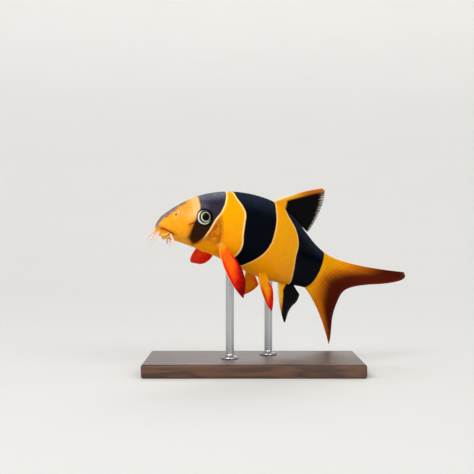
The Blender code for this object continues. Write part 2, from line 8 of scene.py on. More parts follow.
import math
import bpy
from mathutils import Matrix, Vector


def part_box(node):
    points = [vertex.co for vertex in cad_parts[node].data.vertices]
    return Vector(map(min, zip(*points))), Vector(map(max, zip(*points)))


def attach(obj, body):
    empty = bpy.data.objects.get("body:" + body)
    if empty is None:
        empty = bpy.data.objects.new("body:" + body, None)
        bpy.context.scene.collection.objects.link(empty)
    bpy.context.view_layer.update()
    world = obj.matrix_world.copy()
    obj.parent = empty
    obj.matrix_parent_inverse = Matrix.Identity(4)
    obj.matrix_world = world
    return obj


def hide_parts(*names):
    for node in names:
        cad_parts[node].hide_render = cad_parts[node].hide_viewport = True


bl_info = {
    "name": "Clown loach museum model",
    "version": (1, 0, 0),
    "blender": (4, 5, 0),
    "location": "3D View > Sidebar > Loach",
    "description": "Skin, fins, barbels, eyes and stand of a life-size clown loach model",
    "category": "Add Mesh",
}

import bpy
import numpy as np
from mathutils import Vector

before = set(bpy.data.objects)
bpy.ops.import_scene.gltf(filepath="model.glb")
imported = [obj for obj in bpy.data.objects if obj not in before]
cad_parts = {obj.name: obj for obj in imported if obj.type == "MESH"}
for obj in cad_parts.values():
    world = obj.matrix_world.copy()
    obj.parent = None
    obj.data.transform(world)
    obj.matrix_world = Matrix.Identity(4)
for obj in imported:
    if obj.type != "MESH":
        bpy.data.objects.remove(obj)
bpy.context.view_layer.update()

METRES = 0.001
SEAM = 0.3
UP = math.pi / 2
DOWN = -math.pi / 2

# The body: its length from the snout to the tail fin, and its outline as shares of it
BODY_LENGTH = 90.0
STATION = np.array([0.0, 0.04, 0.09, 0.16, 0.24, 0.32, 0.42, 0.52, 0.62, 0.72, 0.82, 0.91, 1.0, 1.06])
BACK = np.array([25, 50, 81, 117, 145, 162, 172, 172, 159, 141, 124, 108, 94, 89]) / 1000
BELLY = np.array([31, 46, 59, 78, 97, 113, 128, 140, 138, 123, 101, 85, 79, 78]) / -1000
HALF_WIDTH = np.array([20, 31, 44, 60, 73, 81, 83, 78, 67, 53, 40, 30, 18, 9]) / 1000
NOSE_SHARE = 0.035
PEAR = 0.16

# The pose: how the backbone turns, dips and leans, in degrees at shares of the length
YAW_AT = np.array([0.0, 0.3, 0.55, 0.75, 1.0, 1.4])
YAW = np.radians([30.0, 36, 47, 60, 50, 28])
DIP_AT = np.array([0.0, 0.4, 0.7, 1.0, 1.4])
DIP = np.radians([-5.0, 12, 20, 13, 13])
LEAN_AT = np.array([0.0, 0.5, 1.0, 1.4])
LEAN = np.radians([-10.0, -15.5, -25.5, -25.5])
SNOUT = np.array([-34.8, -27.0, 53.5])
SPINE_END = 1.4
SPINE_STEPS = 1401

# The gill covers' rear edge, the end of the tail stem, and the eyes
GILL_EDGE = 0.238
GILL_SWEEP = 0.028
GILL_LOW = math.radians(30)
FLAP_LIFT = 0.34
STEM_END = 1.0
STEM_SLANT = 0.035
EYE_STATION = 0.180
EYE_RISE = math.radians(15.8)
EYE_RADIUS = 2.8
EYE_DEPTH = 2.0
EYE_STANDS_OUT = 1.0
RIM_RADIUS = 3.0
RIM_SIZE = 0.34
SOCKET_DEPTH = 1.7

# The mouth, on the underside of the snout: a tube's front station, how far its ends sit further
# back, its spread to each side in degrees, and its radius at the front and at the corners
UPPER_LIP = dict(station=0.010, back=0.038, spread=62, thick=0.62, thin=0.40)
MOUTH_LINE = dict(station=0.023, back=0.027, spread=60, thick=0.24, thin=0.16)
LOWER_LIP = dict(station=0.037, back=0.015, spread=50, thick=0.55, thin=0.34)

# The nostrils, the slit under the eye and the fold of the snout over the upper lip
NOSTRIL_STATION = 0.084
NOSTRIL_RISE = 45.0
NOSTRIL_PLACES = ((-0.010, -3.0), (0.002, 0.0), (0.013, 3.0))
SPINE_SLIT = ((0.124, 0.0), (0.131, 1.8), (0.138, 3.6), (0.144, 5.4))
SNOUT_FOLD = ((0.015, -1.0), (0.029, -9.0), (0.041, -18.0), (0.053, -26.0), (0.063, -31.0))

# The dark bands: the stations of each one's front and rear edge at rises from the belly's middle
# (-90) over the flank (0) to the back's (90)
BANDS = (
    (((-90, 0.215), (-66, 0.166), (-57, 0.152), (-43, 0.131), (-18, 0.131), (1, 0.139), (20, 0.151),
      (39, 0.165), (60, 0.166), (90, 0.170)),
     ((-90, 0.120), (-66, 0.158), (-57, 0.166), (-40, 0.181), (-21, 0.195), (-5, 0.208), (13, 0.225),
      (26, 0.245), (39, 0.258), (57, 0.269), (90, 0.281))),
    (((-90, 0.372), (-56, 0.368), (-35, 0.374), (-23, 0.371), (-4, 0.357), (13, 0.354), (29, 0.352),
      (40, 0.340), (54, 0.321), (90, 0.310)),
     ((-90, 0.422), (-70, 0.435), (-53, 0.446), (-35, 0.472), (-20, 0.494), (-3, 0.508), (14, 0.509),
      (33, 0.507), (53, 0.501), (90, 0.505))),
    (((-90, 0.842), (-50, 0.800), (-24, 0.752), (1, 0.707), (22, 0.692), (33, 0.671), (45, 0.635),
      (55, 0.595), (90, 0.566)),
     ((-90, 0.950), (-65, 0.958), (-36, 0.973), (-4, 0.978), (30, 0.974), (59, 0.967), (90, 0.962))),
)

# The stand
BASE_SIZE = (80.0, 56.0, 5.0)
BASE_EDGE = 1.0
ROD_RADIUS = 1.5
FOOT_RADIUS = 3.2
FOOT_HEIGHT = 1.3
ROD_STATIONS = {"front": 0.40, "rear": 0.68}

# The camera stands level in front of the fish, at the height of the snout
CAMERA_PLACE = (-0.006, -0.477, 0.050)
CAMERA_LENS = 96.8
CAMERA_SENSOR = 36.0
CAMERA_CLIP = (0.01, 20.0)

# A distance beyond all others, a direction that no barbel has, a full turn, and the two sides
FAR = 99.0
OBLIQUE = (0.31, 0.87, 0.38)
TURN = 2 * math.pi
SIDES = ((1, "right"), (-1, "left"))


# Forms


def smooth(x, xs, ys):
    """A cubic curve through the points, its slopes taken from their neighbours."""
    slopes = np.gradient(ys, xs)
    i = np.clip(np.searchsorted(xs, x) - 1, 0, len(xs) - 2)
    step = xs[i + 1] - xs[i]
    u = np.clip((x - xs[i]) / step, 0, 1)
    start = (1 + 2 * u) * (1 - u) ** 2 * ys[i] + u * (1 - u) ** 2 * step * slopes[i]
    return start + u * u * (3 - 2 * u) * ys[i + 1] + u * u * (u - 1) * step * slopes[i + 1]


def step(x, low, high):
    """0 below low, 1 above high, and an even S between them: u * u * (3 - 2 * u)."""
    u = np.clip((x - low) / (high - low), 0, 1)
    return u * u * (3 - 2 * u)


def bell(x, width):
    """1 at 0 that falls off to both sides: exp(-(x / width) squared)."""
    return np.exp(-(x / width) ** 2)


def unit(vectors):
    """Vectors made one long."""
    return vectors / np.maximum(np.linalg.norm(vectors, axis=-1, keepdims=True), 1e-9)


def grid_normals(points):
    """A grid's directions at a right angle to it: its change down the rows x its change along them."""
    return unit(np.cross(np.gradient(points, axis=0), np.gradient(points, axis=1)))


def make_spine():
    """Points of the backbone with its three directions: along, across to the right flank, and up.

    Yaw, dip and lean are smooth curves of the station, and the place is the sum of the steps along.
    """
    t = np.linspace(0, SPINE_END, SPINE_STEPS)
    yaw = smooth(t, YAW_AT, YAW)
    dip = smooth(t, DIP_AT, DIP)
    lean = smooth(t, LEAN_AT, LEAN)[:, None]
    along = np.stack([np.cos(dip) * np.cos(yaw), np.cos(dip) * np.sin(yaw), -np.sin(dip)], 1)
    level = np.stack([-np.sin(yaw), np.cos(yaw), 0 * yaw], 1)
    upright = np.cross(along, level)
    across = level * np.cos(lean) - upright * np.sin(lean)
    up = upright * np.cos(lean) + level * np.sin(lean)
    place = np.zeros((SPINE_STEPS, 3))
    place[1:] = np.cumsum((along[1:] + along[:-1]) / 2 * BODY_LENGTH * (t[1] - t[0]), 0)
    return t, (place + SNOUT, along, across, up)


SPINE_T, SPINE = make_spine()


def spine(t):
    """Place, along, across and up of the backbone at station t."""
    return [np.stack([np.interp(t, SPINE_T, rows[:, k]) for k in range(3)], -1) for rows in SPINE]


def section(t):
    """Middle height, half height and half width of the body at station t."""
    back, belly, half = (BODY_LENGTH * smooth(t, STATION, v) for v in (BACK, BELLY, HALF_WIDTH))
    s = np.clip(t / NOSE_SHARE, 0, 1)
    nose = np.sqrt(s * (2 - s))
    return (back + belly) / 2, (back - belly) / 2 * nose, half * nose


def skin(t, angle):
    """A point of the skin: angle 0 is the right flank, a quarter turn the back, a half turn the left.

    Across is half * cos(angle) * (1 - PEAR * sin(angle)) and up is middle + high * sin(angle).
    """
    t, angle = np.broadcast_arrays(np.asarray(t, float), np.asarray(angle, float))
    middle, high, half = section(t)
    sideways = half * np.cos(angle) * (1 - PEAR * np.sin(angle))
    upward = middle + high * np.sin(angle)
    place, _, across, up = spine(t)
    return place + across * sideways[..., None] + up * upward[..., None]


def outward(t, angle):
    """The unit direction that leaves the skin at a right angle, from small steps along and round it."""
    small = 1e-3
    ahead = skin(t + small, angle) - skin(t - small, angle)
    round_it = skin(t, angle + small) - skin(t, angle - small)
    normal = unit(np.cross(ahead, round_it))
    place, _, _, up = spine(t)
    middle = place + up * np.asarray(section(t)[0])[..., None]
    return normal * np.sign((normal * (skin(t, angle) - middle)).sum(-1, keepdims=True))


def on_side(rise, side):
    """The section's angle for a rise above the flank's middle: side 1 is the right, -1 the left."""
    return rise if side > 0 else math.pi - rise


def flank_rise(angle):
    """A section's angle, counted up from the flank's middle on either side."""
    return np.where(np.cos(angle) < 0, math.pi - angle, angle)


def gill_edge(angle):
    """Station of the gill cover's rear edge round the body."""
    return GILL_EDGE + GILL_SWEEP * np.cos(flank_rise(angle) + GILL_LOW) ** 2


def flap(angle):
    """How far the gill cover stands off the flank behind it, most at the middle of the side."""
    rise = flank_rise(angle)
    return FLAP_LIFT * np.clip(np.cos((rise + GILL_LOW * 0.7) * 1.25), 0, 1) ** 0.7


def stem_end(angle):
    """Station where the tail stem ends, further back at the top than at the bottom."""
    return STEM_END + STEM_SLANT * np.sin(angle)


def eye_place(side):
    """The skin under an eye, the centre of its ball and the direction it looks in."""
    angle = on_side(EYE_RISE, side)
    axis = outward(EYE_STATION, angle)
    place = skin(EYE_STATION, angle)
    return place, place - axis * (EYE_DEPTH - EYE_STANDS_OUT), axis


def eye_frame(side):
    """The eye's two directions in its own plane: to the rear and up."""
    axis = eye_place(side)[2]
    along = spine(EYE_STATION)[1]
    rear = unit(along - axis * (along @ axis))
    up = np.cross(rear, axis) * side
    return rear, up * np.sign(up @ spine(EYE_STATION)[3])


def near_line(points, path):
    """Each point's distance to a line through the path's points, and how far along it that is, 0 to 1.

    The distance is the least of those to its stretches.
    """
    least = np.full(points.shape[:-1], np.inf)
    along = np.zeros(points.shape[:-1])
    for k, (start, end) in enumerate(zip(path[:-1], path[1:])):
        stretch = end - start
        share = np.clip((points - start) @ stretch / (stretch @ stretch), 0, 1)
        distance = np.linalg.norm(points - start - share[..., None] * stretch, axis=-1)
        nearer = distance < least
        least = np.where(nearer, distance, least)
        along = np.where(nearer, (k + share) / (len(path) - 1), along)
    return least, along


# Meshes


def grid_faces(rows, columns):
    """Quads of a grid of points in rows, whose last column joins the first."""
    i, j = np.meshgrid(np.arange(rows - 1), np.arange(columns), indexing="ij")
    after = (j + 1) % columns
    row = i * columns
    below = row + columns
    return np.stack([row + j, row + after, below + after, below + j], -1).reshape(-1, 4)


def volume(points, faces):
    """Six times the signed volume inside triangles or quads: the sum of corner . (second x third)."""
    total = 0.0
    for k in range(1, faces.shape[1] - 1):
        a, b, c = points[faces[:, 0]], points[faces[:, k]], points[faces[:, k + 1]]
        total += (a * np.cross(b, c)).sum()
    return total


def make_object(name, points, quads, triangles, material):
    """A smooth object from points in millimetres."""
    mesh = bpy.data.meshes.new(name)
    mesh.from_pydata((points * METRES).tolist(), [], quads.tolist() + triangles.tolist())
    mesh.polygons.foreach_set("use_smooth", np.ones(len(mesh.polygons), bool))
    mesh.materials.append(material)
    mesh.update()
    thing = bpy.data.objects.new(name, mesh)
    bpy.context.scene.collection.objects.link(thing)
    return thing


def make_piece(name, surface, material, slot, *nodes):
    """A piece in the place of some nodes: its faces turned outwards and its fields as attributes."""
    points, quads, triangles, fields = surface
    centred = points - points.mean(0)
    if volume(centred, quads) + volume(centred, triangles) < 0:
        quads, triangles = quads[:, ::-1], triangles[:, ::-1]
    thing = make_object(name, points, quads, triangles, material)
    for field, values in fields.items():
        layer = thing.data.attributes.new(field, "FLOAT_VECTOR", "POINT")
        layer.data.foreach_set("vector", values.astype(np.float32).reshape(-1))
    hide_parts(*nodes)
    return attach(thing, "root")


def with_ends(rows):
    """A grid's rows as one list, with the means of its first and last row put after them."""
    return np.concatenate([rows.reshape(-1, 3), rows[0].mean(0)[None], rows[-1].mean(0)[None]])


def closed_tube(rings, **fields):
    """Rings in a row as points, quads, triangles and fields, each end closed by a fan from its middle."""
    rows, columns = rings.shape[:2]
    j = np.arange(columns)
    after = (j + 1) % columns
    first, last = rows * columns, rows * columns + 1
    end = (rows - 1) * columns
    front = np.stack([np.full(columns, first), after, j], -1)
    rear = np.stack([np.full(columns, last), end + j, end + after], -1)
    ended = {name: with_ends(values) for name, values in fields.items()}
    return with_ends(rings), grid_faces(rows, columns), np.concatenate([front, rear]), ended


def full_turn(columns):
    """Evenly spaced angles round a ring, as a row."""
    return np.linspace(0, TURN, columns, endpoint=False)[None]


def sweep_tube(path, radii, columns):
    """Rings carried along a path, each in the plane across it: place + radius * (cos * a + sin * b)."""
    along = unit(np.gradient(path, axis=0))
    side = unit(np.cross(along, OBLIQUE))
    other = np.cross(along, side)
    turn = full_turn(columns)[..., None]
    reach = radii[:, None, None]
    return path[:, None] + reach * (np.cos(turn) * side[:, None] + np.sin(turn) * other[:, None])


# Materials


def math_method(operation, reflected=False):
    """A method that adds a Math node on a wire and another value, in the other order if reflected."""
    def method(wire, other):
        values = (other, wire) if reflected else (wire, other)
        return wire.sheet.maths(operation, *values)
    return method


class Wire:
    """A socket of a material. Arithmetic on it adds Math nodes to its sheet."""

    def __init__(self, sheet, socket):
        self.sheet = sheet
        self.socket = socket

    __add__ = math_method("ADD")
    __radd__ = math_method("ADD", reflected=True)
    __sub__ = math_method("SUBTRACT")
    __rsub__ = math_method("SUBTRACT", reflected=True)
    __mul__ = math_method("MULTIPLY")
    __rmul__ = math_method("MULTIPLY", reflected=True)
    __truediv__ = math_method("DIVIDE")
    __pow__ = math_method("POWER")
    most = math_method("MAXIMUM")

    def step(self, low, high):
        """0 below low, 1 above high, and an even S between them."""
        sockets = {"Value": self, "From Min": low, "From Max": high}
        return self.sheet.node("ShaderNodeMapRange", {"interpolation_type": "SMOOTHSTEP"}, sockets)

    def bell(self, width):
        """1 at 0 that falls off to both sides."""
        share = self / width
        return self.sheet.maths("POWER", math.e, share * share * -1.0)

    def over(self, *layers):
        """This colour under layers, each a colour and its share from 0 to 1, in turn."""
        colour = self
        for layer, share in zip(layers[::2], layers[1::2]):
            colour = self.sheet.mix(colour, layer, share)
        return colour


class Sheet:
    """A material's node tree with its Principled shader."""

    def __init__(self, name):
        self.material = bpy.data.materials.new(name)
        self.material.use_nodes = True
        self.tree = self.material.node_tree
        self.shader = self.tree.nodes["Principled BSDF"]
        self.shader.inputs["Subsurface Scale"].default_value = 1.0

    def node(self, kind, settings=None, sockets=None, out=0):
        """Adds a node: its settings first, then values or links for its sockets. Gives one output."""
        made = self.tree.nodes.new(kind)
        for key, value in (settings or {}).items():
            setattr(made, key, value)
        for key, value in (sockets or {}).items():
            self.put(made.inputs[key], value)
        return Wire(self, made.outputs[out])

    def put(self, socket, value):
        """Links a wire to a socket, or sets the socket's own value."""
        if isinstance(value, Wire):
            self.tree.links.new(value.socket, socket)
        else:
            socket.default_value = (*value, 1.0) if socket.type == "RGBA" else value

    def finish(self, **values):
        """Sets or links the shader's sockets, named with _ for a space."""
        for key, value in values.items():
            self.put(self.shader.inputs[key.replace("_", " ")], value)
        return self.material

    def maths(self, operation, *values):
        """A Math node on these values."""
        return self.node("ShaderNodeMath", {"operation": operation}, dict(enumerate(values)))

    def mix(self, first, second, share):
        """One colour turned into another as the share goes from 0 to 1."""
        return self.node("ShaderNodeMix", {"data_type": "RGBA"}, {"Factor": share, 6: first, 7: second}, 2)

    def shade(self, colour, factor):
        """A colour made darker or lighter by a factor."""
        return self.node("ShaderNodeVectorMath", {"operation": "SCALE"}, {0: colour, "Scale": factor})

    def field(self, name):
        """The three parts of one of the piece's own fields."""
        vector = self.node("ShaderNodeAttribute", {"attribute_name": name}, out=1)
        return [self.node("ShaderNodeSeparateXYZ", None, {0: vector}, k) for k in range(3)]

    def places(self, stretch=(1.0, 1.0, 1.0)):
        """Object coordinates, stretched."""
        place = self.node("ShaderNodeTexCoord", out=3)
        return self.node("ShaderNodeMapping", None, {"Vector": place, "Scale": stretch})

    def noise(self, cells, detail=3.0, rough=0.6, place=None):
        """Noise between 0 and 1 with so many cells a metre."""
        sockets = {"Vector": place or self.places(), "Scale": cells, "Detail": detail, "Roughness": rough}
        return self.node("ShaderNodeTexNoise", None, sockets)

    def cells(self, cells):
        """The distance to the nearest of scattered points, so many a metre."""
        return self.node("ShaderNodeTexVoronoi", None, {"Vector": self.places(), "Scale": cells})

    def bump(self, height, distance, strength):
        """A normal that makes a height show, in metres."""
        sockets = {"Height": height, "Distance": distance, "Strength": strength}
        return self.node("ShaderNodeBump", None, sockets)


def colour_property(name, description, red, green, blue):
    """A colour that a user can change, given as it looks on screen from 0 to 255."""
    linear = [((v / 255 + 0.055) / 1.055) ** 2.4 if v > 10 else v / 255 / 12.92 for v in (red, green, blue)]
    return bpy.props.FloatVectorProperty(name=name, description=description, default=linear, size=3,
                                         min=0.0, max=1.0, subtype="COLOR")


class LoachColours(bpy.types.PropertyGroup):
    """Colours of the fish and its stand."""

    orange: colour_property("Orange", "Ground colour of the upper flanks", 246, 166, 0)
    deep_orange: colour_property("Deep orange", "Ground colour towards the belly", 255, 160, 4)
    face: colour_property("Face", "Ground colour of the head", 241, 158, 18)
    peach: colour_property("Peach", "Tint of the cheek and the chin", 252, 168, 74)
    # Before the first band this pale peach is partly a painted highlight on the upper head.
    glow: colour_property("Glow", "Pale peach before the first band and at the fins' roots", 250, 206, 150)
    band: colour_property("Band", "The dark bands", 6, 10, 18)
    # Painted sheen: the dark bands are lighter and bluer towards the back, where the light from above falls.
    band_sheen: colour_property("Band top", "The dark bands near the back", 40, 48, 64)
    crown: colour_property("Crown", "The first band above the eye", 46, 42, 56)
    # Painted highlight: the paler grey of the first band on top of the head and over the brow.
    crown_highlight: colour_property("Crown top", "The first band on top of the head", 112, 112, 126)
    cheek: colour_property("Cheek", "The first band below the eye", 44, 24, 10)
    # On the dark fins' leading edge near the root the rim colour is a painted highlight.
    rim: colour_property("Rim", "The pale lines beside the bands", 255, 232, 160)
    snout: colour_property("Snout", "The grey stripe on the snout", 112, 108, 112)
    gill: colour_property("Gill cover", "The brown-orange gill cover", 170, 84, 10)
    lip: colour_property("Lip", "The lips", 250, 196, 112)
    # The crease colour is partly red-brown skin and partly painted shade in the mouth line, the slits, the
    # snout's fold, the nostrils' pits and the groove behind the gill cover.
    crease: colour_property("Crease", "The corner of the mouth and other creases", 150, 50, 14)
    eye_dark: colour_property("Eye dark", "The pupil and the dark rings", 4, 6, 10)
    eye_gold: colour_property("Eye gold", "The ring round the pupil", 222, 212, 158)
    eye_white: colour_property("Eye white", "The bright part of the outer ring", 252, 252, 246)
    eye_shade: colour_property("Eye shade", "The dull part of the rings", 46, 52, 70)
    fin_black: colour_property("Fin black", "The dark part of the back and anal fins", 6, 7, 10)
    fin_yellow: colour_property("Fin yellow", "The leading strip of the dark fins", 255, 176, 30)
    fin_margin: colour_property("Fin margin", "The clear margin of the dark fins", 206, 206, 180)
    fin_orange: colour_property("Fin orange", "The middle of the paired fins", 255, 104, 10)
    # Painted light: a brighter red for the right pectoral fin, which stands in shade, in place of the light
    # that shines through it.
    fin_lit_red: colour_property("Fin bright red", "The middle of the right pectoral fin", 255, 62, 20)
    keel_orange: colour_property("Pelvic orange", "The middle of the pelvic fins", 255, 158, 10)
    # The dark red of the paired fins' tips and trailing edges is partly the fins' own colour and partly
    # painted shade.
    fin_dark: colour_property("Fin dark red", "The trailing tips of the paired fins", 70, 2, 4)
    fin_red: colour_property("Fin red", "The edges and tips of the paired fins", 226, 12, 4)
    tail_orange: colour_property("Tail orange", "The outer rays of the tail fin", 208, 114, 8)
    tail_brown: colour_property("Tail brown", "The fork and tips of the tail fin", 72, 20, 2)
    barbel: colour_property("Barbel", "The barbels", 240, 204, 190)
    wood: colour_property("Wood", "The base of the stand", 92, 58, 36)
    wood_dark: colour_property("Dark wood", "The grain of the base", 52, 30, 18)
    steel: colour_property("Steel", "The rods of the stand", 200, 202, 206)
    floor: colour_property("Floor", "The floor and backdrop", 226, 225, 222)


def length_property(name, description, millimetres):
    """A length that a user can change."""
    return bpy.props.FloatProperty(name=name, description=description, default=millimetres * METRES,
                                   min=0.0, precision=5, unit="LENGTH")


class LoachSizes(bpy.types.PropertyGroup):
    """Sizes of the fine forms."""

    rim_width: length_property("Rim width", "Width of the pale lines beside the bands", 0.38)
    scale_size: length_property("Scale size", "Size of one of the minute scales", 0.42)
    fin_thickness: length_property("Fin thickness", "Thickness of a fin at its root", 0.62)
    fin_edge: length_property("Fin edge", "Thickness of a fin at its edge", 0.16)
    ray_height: length_property("Ray height", "How far a fin's rays stand up on each face", 0.11)
    pupil: length_property("Pupil", "Radius of the pupil", 1.42)
    iris: length_property("Iris", "Radius of the golden ring", 1.82)
    white: length_property("White ring", "Outer radius of the eye's white ring", 2.66)


# The skin

SKIN_COLUMNS = 300
NOSE_ROWS = 26
HEAD_ROWS = 146
GILL_ROWS = 14
FLANK_ROWS = 108
GILL_DROP = 0.45
SKIN_END = 0.016

# The head's reliefs: heights and depths in millimetres
SOCKET_EDGE = (-2.85, -2.35)
NOSTRIL_RADIUS = 0.56
NOSTRIL_RIM = 0.2
NOSTRIL_PIT = 0.55
NOSTRIL_FOLD = 0.8
REAR_PIT = 0.34
MOUTH_CREASE = 0.5
SLIT_RIM = 0.1
SLIT_DEPTH = 0.24
GROOVE_DEPTH = 0.16
SWELL_FROM = 0.72


def skin_rows(angles):
    """Stations of the grid's rows, which follow the gill opening and the slanted end of the stem.

    The nose is NOSE_SHARE * (1 - cos), then even steps to the gill edge, close rows across it and
    even steps to the end.
    """
    nose = NOSE_SHARE * (1 - np.cos(np.linspace(0.035, UP, NOSE_ROWS)))[:, None] + 0 * angles
    edge = gill_edge(angles)
    ahead = edge - GILL_DROP / BODY_LENGTH
    behind = edge + GILL_DROP * 2 / BODY_LENGTH
    head = NOSE_SHARE + np.linspace(0, 1, HEAD_ROWS)[1:, None] * (ahead - NOSE_SHARE)
    gill = ahead + np.linspace(0, 1, GILL_ROWS)[1:, None] * (behind - ahead)
    u = np.linspace(0, 1, FLANK_ROWS)[1:, None]
    flank = behind + u * (stem_end(angles) + SKIN_END - behind)
    return np.concatenate([nose, head, gill, flank])


def mouth_path(station, back, spread, **_):
    """A line along the underside of the snout, from one corner of the mouth round to the other."""
    v = np.linspace(-1, 1, 25)
    return skin(station + back * v ** 2, DOWN + np.radians(spread) * v)


def ridge(distance, along, thick, thin, **_):
    """A soft round ridge, thick at the middle of its line and thin at its ends.

    It is radius * (1 - (distance / (1.5 radius))^2)^2 inside 1.5 radii.
    """
    radius = thick + (thin - thick) * (2 * along - 1) ** 2
    return radius * np.clip(1 - (distance / (1.5 * radius)) ** 2, 0, 1) ** 2


def eye_relief(points):
    """The raised rim round each eye and the hollow that the eye sits in, and the distance to the eye."""
    lift = np.zeros(points.shape[:-1])
    nearest = np.full(points.shape[:-1], FAR)
    for side, _ in SIDES:
        place, _, axis = eye_place(side)
        away = points - place
        height = away @ axis
        across = np.sqrt(np.maximum((away ** 2).sum(-1) - height ** 2, 0))
        across = np.where(height < -RIM_RADIUS, FAR, across)
        lift += RIM_SIZE * bell(across - RIM_RADIUS, RIM_SIZE) - SOCKET_DEPTH * step(-across, *SOCKET_EDGE)
        nearest = np.minimum(nearest, across)
    return lift, nearest


def nostril_relief(points):
    """Each nostril: a raised ring with a pit, a thin standing fold behind it and a second pit.

    Returned with the distances to the nearest pit and to the nearest fold.
    """
    lift = np.zeros(points.shape[:-1])
    pit = np.full(points.shape[:-1], FAR)
    flap_distance = np.full(points.shape[:-1], FAR)
    along = spine(NOSTRIL_STATION)[1]
    for side, _ in SIDES:
        places = [skin(NOSTRIL_STATION + shift, on_side(math.radians(NOSTRIL_RISE + turn), side))
                  for shift, turn in NOSTRIL_PLACES]
        front, fold, rear = (np.linalg.norm(points - place, axis=-1) for place in places)
        lift += NOSTRIL_RIM * bell(front - NOSTRIL_RADIUS, 0.17) - NOSTRIL_PIT * step(-front, -0.42, -0.2)
        ahead = (points - places[1]) @ along
        level = np.sqrt(np.maximum(fold ** 2 - ahead ** 2, 0))
        lift += NOSTRIL_FOLD * bell(ahead, 0.19) * bell(level, 0.8)
        lift -= REAR_PIT * bell(rear, 0.28)
        pit = np.minimum(pit, np.minimum(front, rear + 0.12))
        flap_distance = np.minimum(flap_distance, np.hypot(ahead * 1.6, level * 0.6))
    return lift, pit, flap_distance


def mouth_relief(points):
    """Two lips with the mouth's line between them, and the distance to the line."""
    shapes = (UPPER_LIP, MOUTH_LINE, LOWER_LIP)
    upper, line, lower = (near_line(points, mouth_path(**shape)) for shape in shapes)
    lift = np.maximum(ridge(*upper, **UPPER_LIP), ridge(*lower, **LOWER_LIP))
    lift -= MOUTH_CREASE * bell(line[0], 0.2)
    return lift, line[0], np.minimum(upper[0], lower[0])


def slit_relief(points):
    """The closed slit of the spine under each eye and the snout's fold, and the distance to them."""
    nearest = np.full(points.shape[:-1], FAR)
    for line in (SPINE_SLIT, SNOUT_FOLD):
        for side, _ in SIDES:
            path = np.array([skin(t, on_side(math.radians(rise), side)) for t, rise in line])
            nearest = np.minimum(nearest, near_line(points, path)[0])
    return SLIT_RIM * bell(nearest - 0.34, 0.16) - SLIT_DEPTH * bell(nearest, 0.17), nearest


def gill_relief(t, angle):
    """The gill cover swells towards its edge, drops to a groove behind it and meets the flank."""
    ahead = (gill_edge(angle) - t) * BODY_LENGTH
    share = np.clip((t - NOSE_SHARE) / (gill_edge(angle) - NOSE_SHARE), 0, 1)
    swell = np.clip((share - SWELL_FROM) / 0.25, 0, 1) ** 2 * flap(angle)
    edge = step(ahead, -0.12, 0.16)
    side = flap(angle) / FLAP_LIFT
    return swell * edge - GROOVE_DEPTH * side * bell(ahead + 0.16, 0.2), ahead, side


def band_fields(t, angle, points):
    """How far a place is inside the nearest band, in millimetres, how soft that band's edge is and
    how clear its pale line, and the pale peach in front of the first band, which is partly a painted
    highlight.

    A distance is (t - edge) * length, divided by how fast that changes over the skin, so that a
    slanted edge is as narrow as an upright one.
    """
    rise = np.degrees(np.arcsin(np.sin(angle)))
    ahead = np.linalg.norm(np.gradient(points, axis=0), axis=-1)
    round_it = np.linalg.norm(np.gradient(points, axis=1), axis=-1)
    inside = np.full(t.shape, -FAR)
    soft = np.zeros(t.shape)
    clear = np.zeros(t.shape)
    glow = np.zeros(t.shape)
    for number, band in enumerate(BANDS):
        sides = []
        for edge, way in zip(band, (1, -1)):
            rises, stations = np.array(edge).T
            depth = way * (t - smooth(rise, rises, stations)) * BODY_LENGTH
            slope = np.hypot(np.gradient(depth, axis=0) / np.maximum(ahead, 1e-3),
                             np.gradient(depth, axis=1) / np.maximum(round_it, 1e-3))
            sides.append(depth / np.clip(slope, 1.0, 3.0))
        front, rear = sides
        depth = np.minimum(front, rear)
        here = depth > inside
        is_front = front < rear
        if number == 0:
            # Pale peach in front of the first band on the upper head, partly a painted highlight.
            glow = bell(front + 1.2, 1.8) * step(rise, 0, 35) * (rear > 0)
            edge_soft = np.where(is_front, 0.38 + 0.5 * step(-rise, 0, 40), 0.16 + 0.6 * step(-rise, 10, 50))
            edge_clear = np.where(is_front, 0.25 * step(rise, 30, 60), 1.0 - step(-rise, 12, 42))
        else:
            edge_soft = 0.16 + 0.2 * step(-rise, 55, 80)
            edge_clear = np.where(is_front, 1.0, 0.7) if number == 1 else np.where(is_front, 0.7, 0.0)
        inside = np.where(here, depth, inside)
        soft = np.where(here, edge_soft, soft)
        clear = np.where(here, edge_clear, clear)
    return np.stack([inside, soft, clear], -1), glow


def build_skin(material):
    """The whole skin on one grid: the body's sections with the head's forms raised on them.

    A point is skin(t, angle) + outward * the sum of the reliefs.
    """
    angles = full_turn(SKIN_COLUMNS)
    t = skin_rows(angles)
    angle = angles + 0 * t
    base = skin(t, angle)
    wrapped = np.concatenate([base[:, -1:], base, base[:, :1]], 1)
    normal = grid_normals(wrapped)[:, 1:-1]
    middle = base.mean(1, keepdims=True)
    normal *= np.sign(((base - middle) * normal).sum(-1).sum())
    eye_lift, eye = eye_relief(base)
    nostril_lift, nostril, fold = nostril_relief(base)
    mouth_lift, mouth, lips = mouth_relief(base)
    slit_lift, slit = slit_relief(base)
    gill_lift, gill, side = gill_relief(t, angle)
    lift = eye_lift + nostril_lift + mouth_lift + slit_lift + gill_lift
    points = base + normal * lift[..., None]
    bands, glow = band_fields(t, angle, base)
    fins = [skin(CHEST_ROOT[0][0] + 0.002, on_side(CHEST_ROOT[0][1] + 0.12, way)) for way, _ in SIDES]
    fin_root = np.minimum(*[np.linalg.norm(base - place, axis=-1) for place in fins])
    surface = closed_tube(
        points,
        bands=bands,
        # The third part of the place field is that pale peach, partly a painted highlight.
        place=np.stack([t, np.sin(angle), glow], -1),
        head=np.stack([eye, nostril, mouth], -1),
        marks=np.stack([gill, slit, lips], -1),
        roots=np.stack([fin_root, side, fold], -1),
    )
    return make_piece("skin", surface, material, "body_skin", "head", "trunk", "tail_stem")


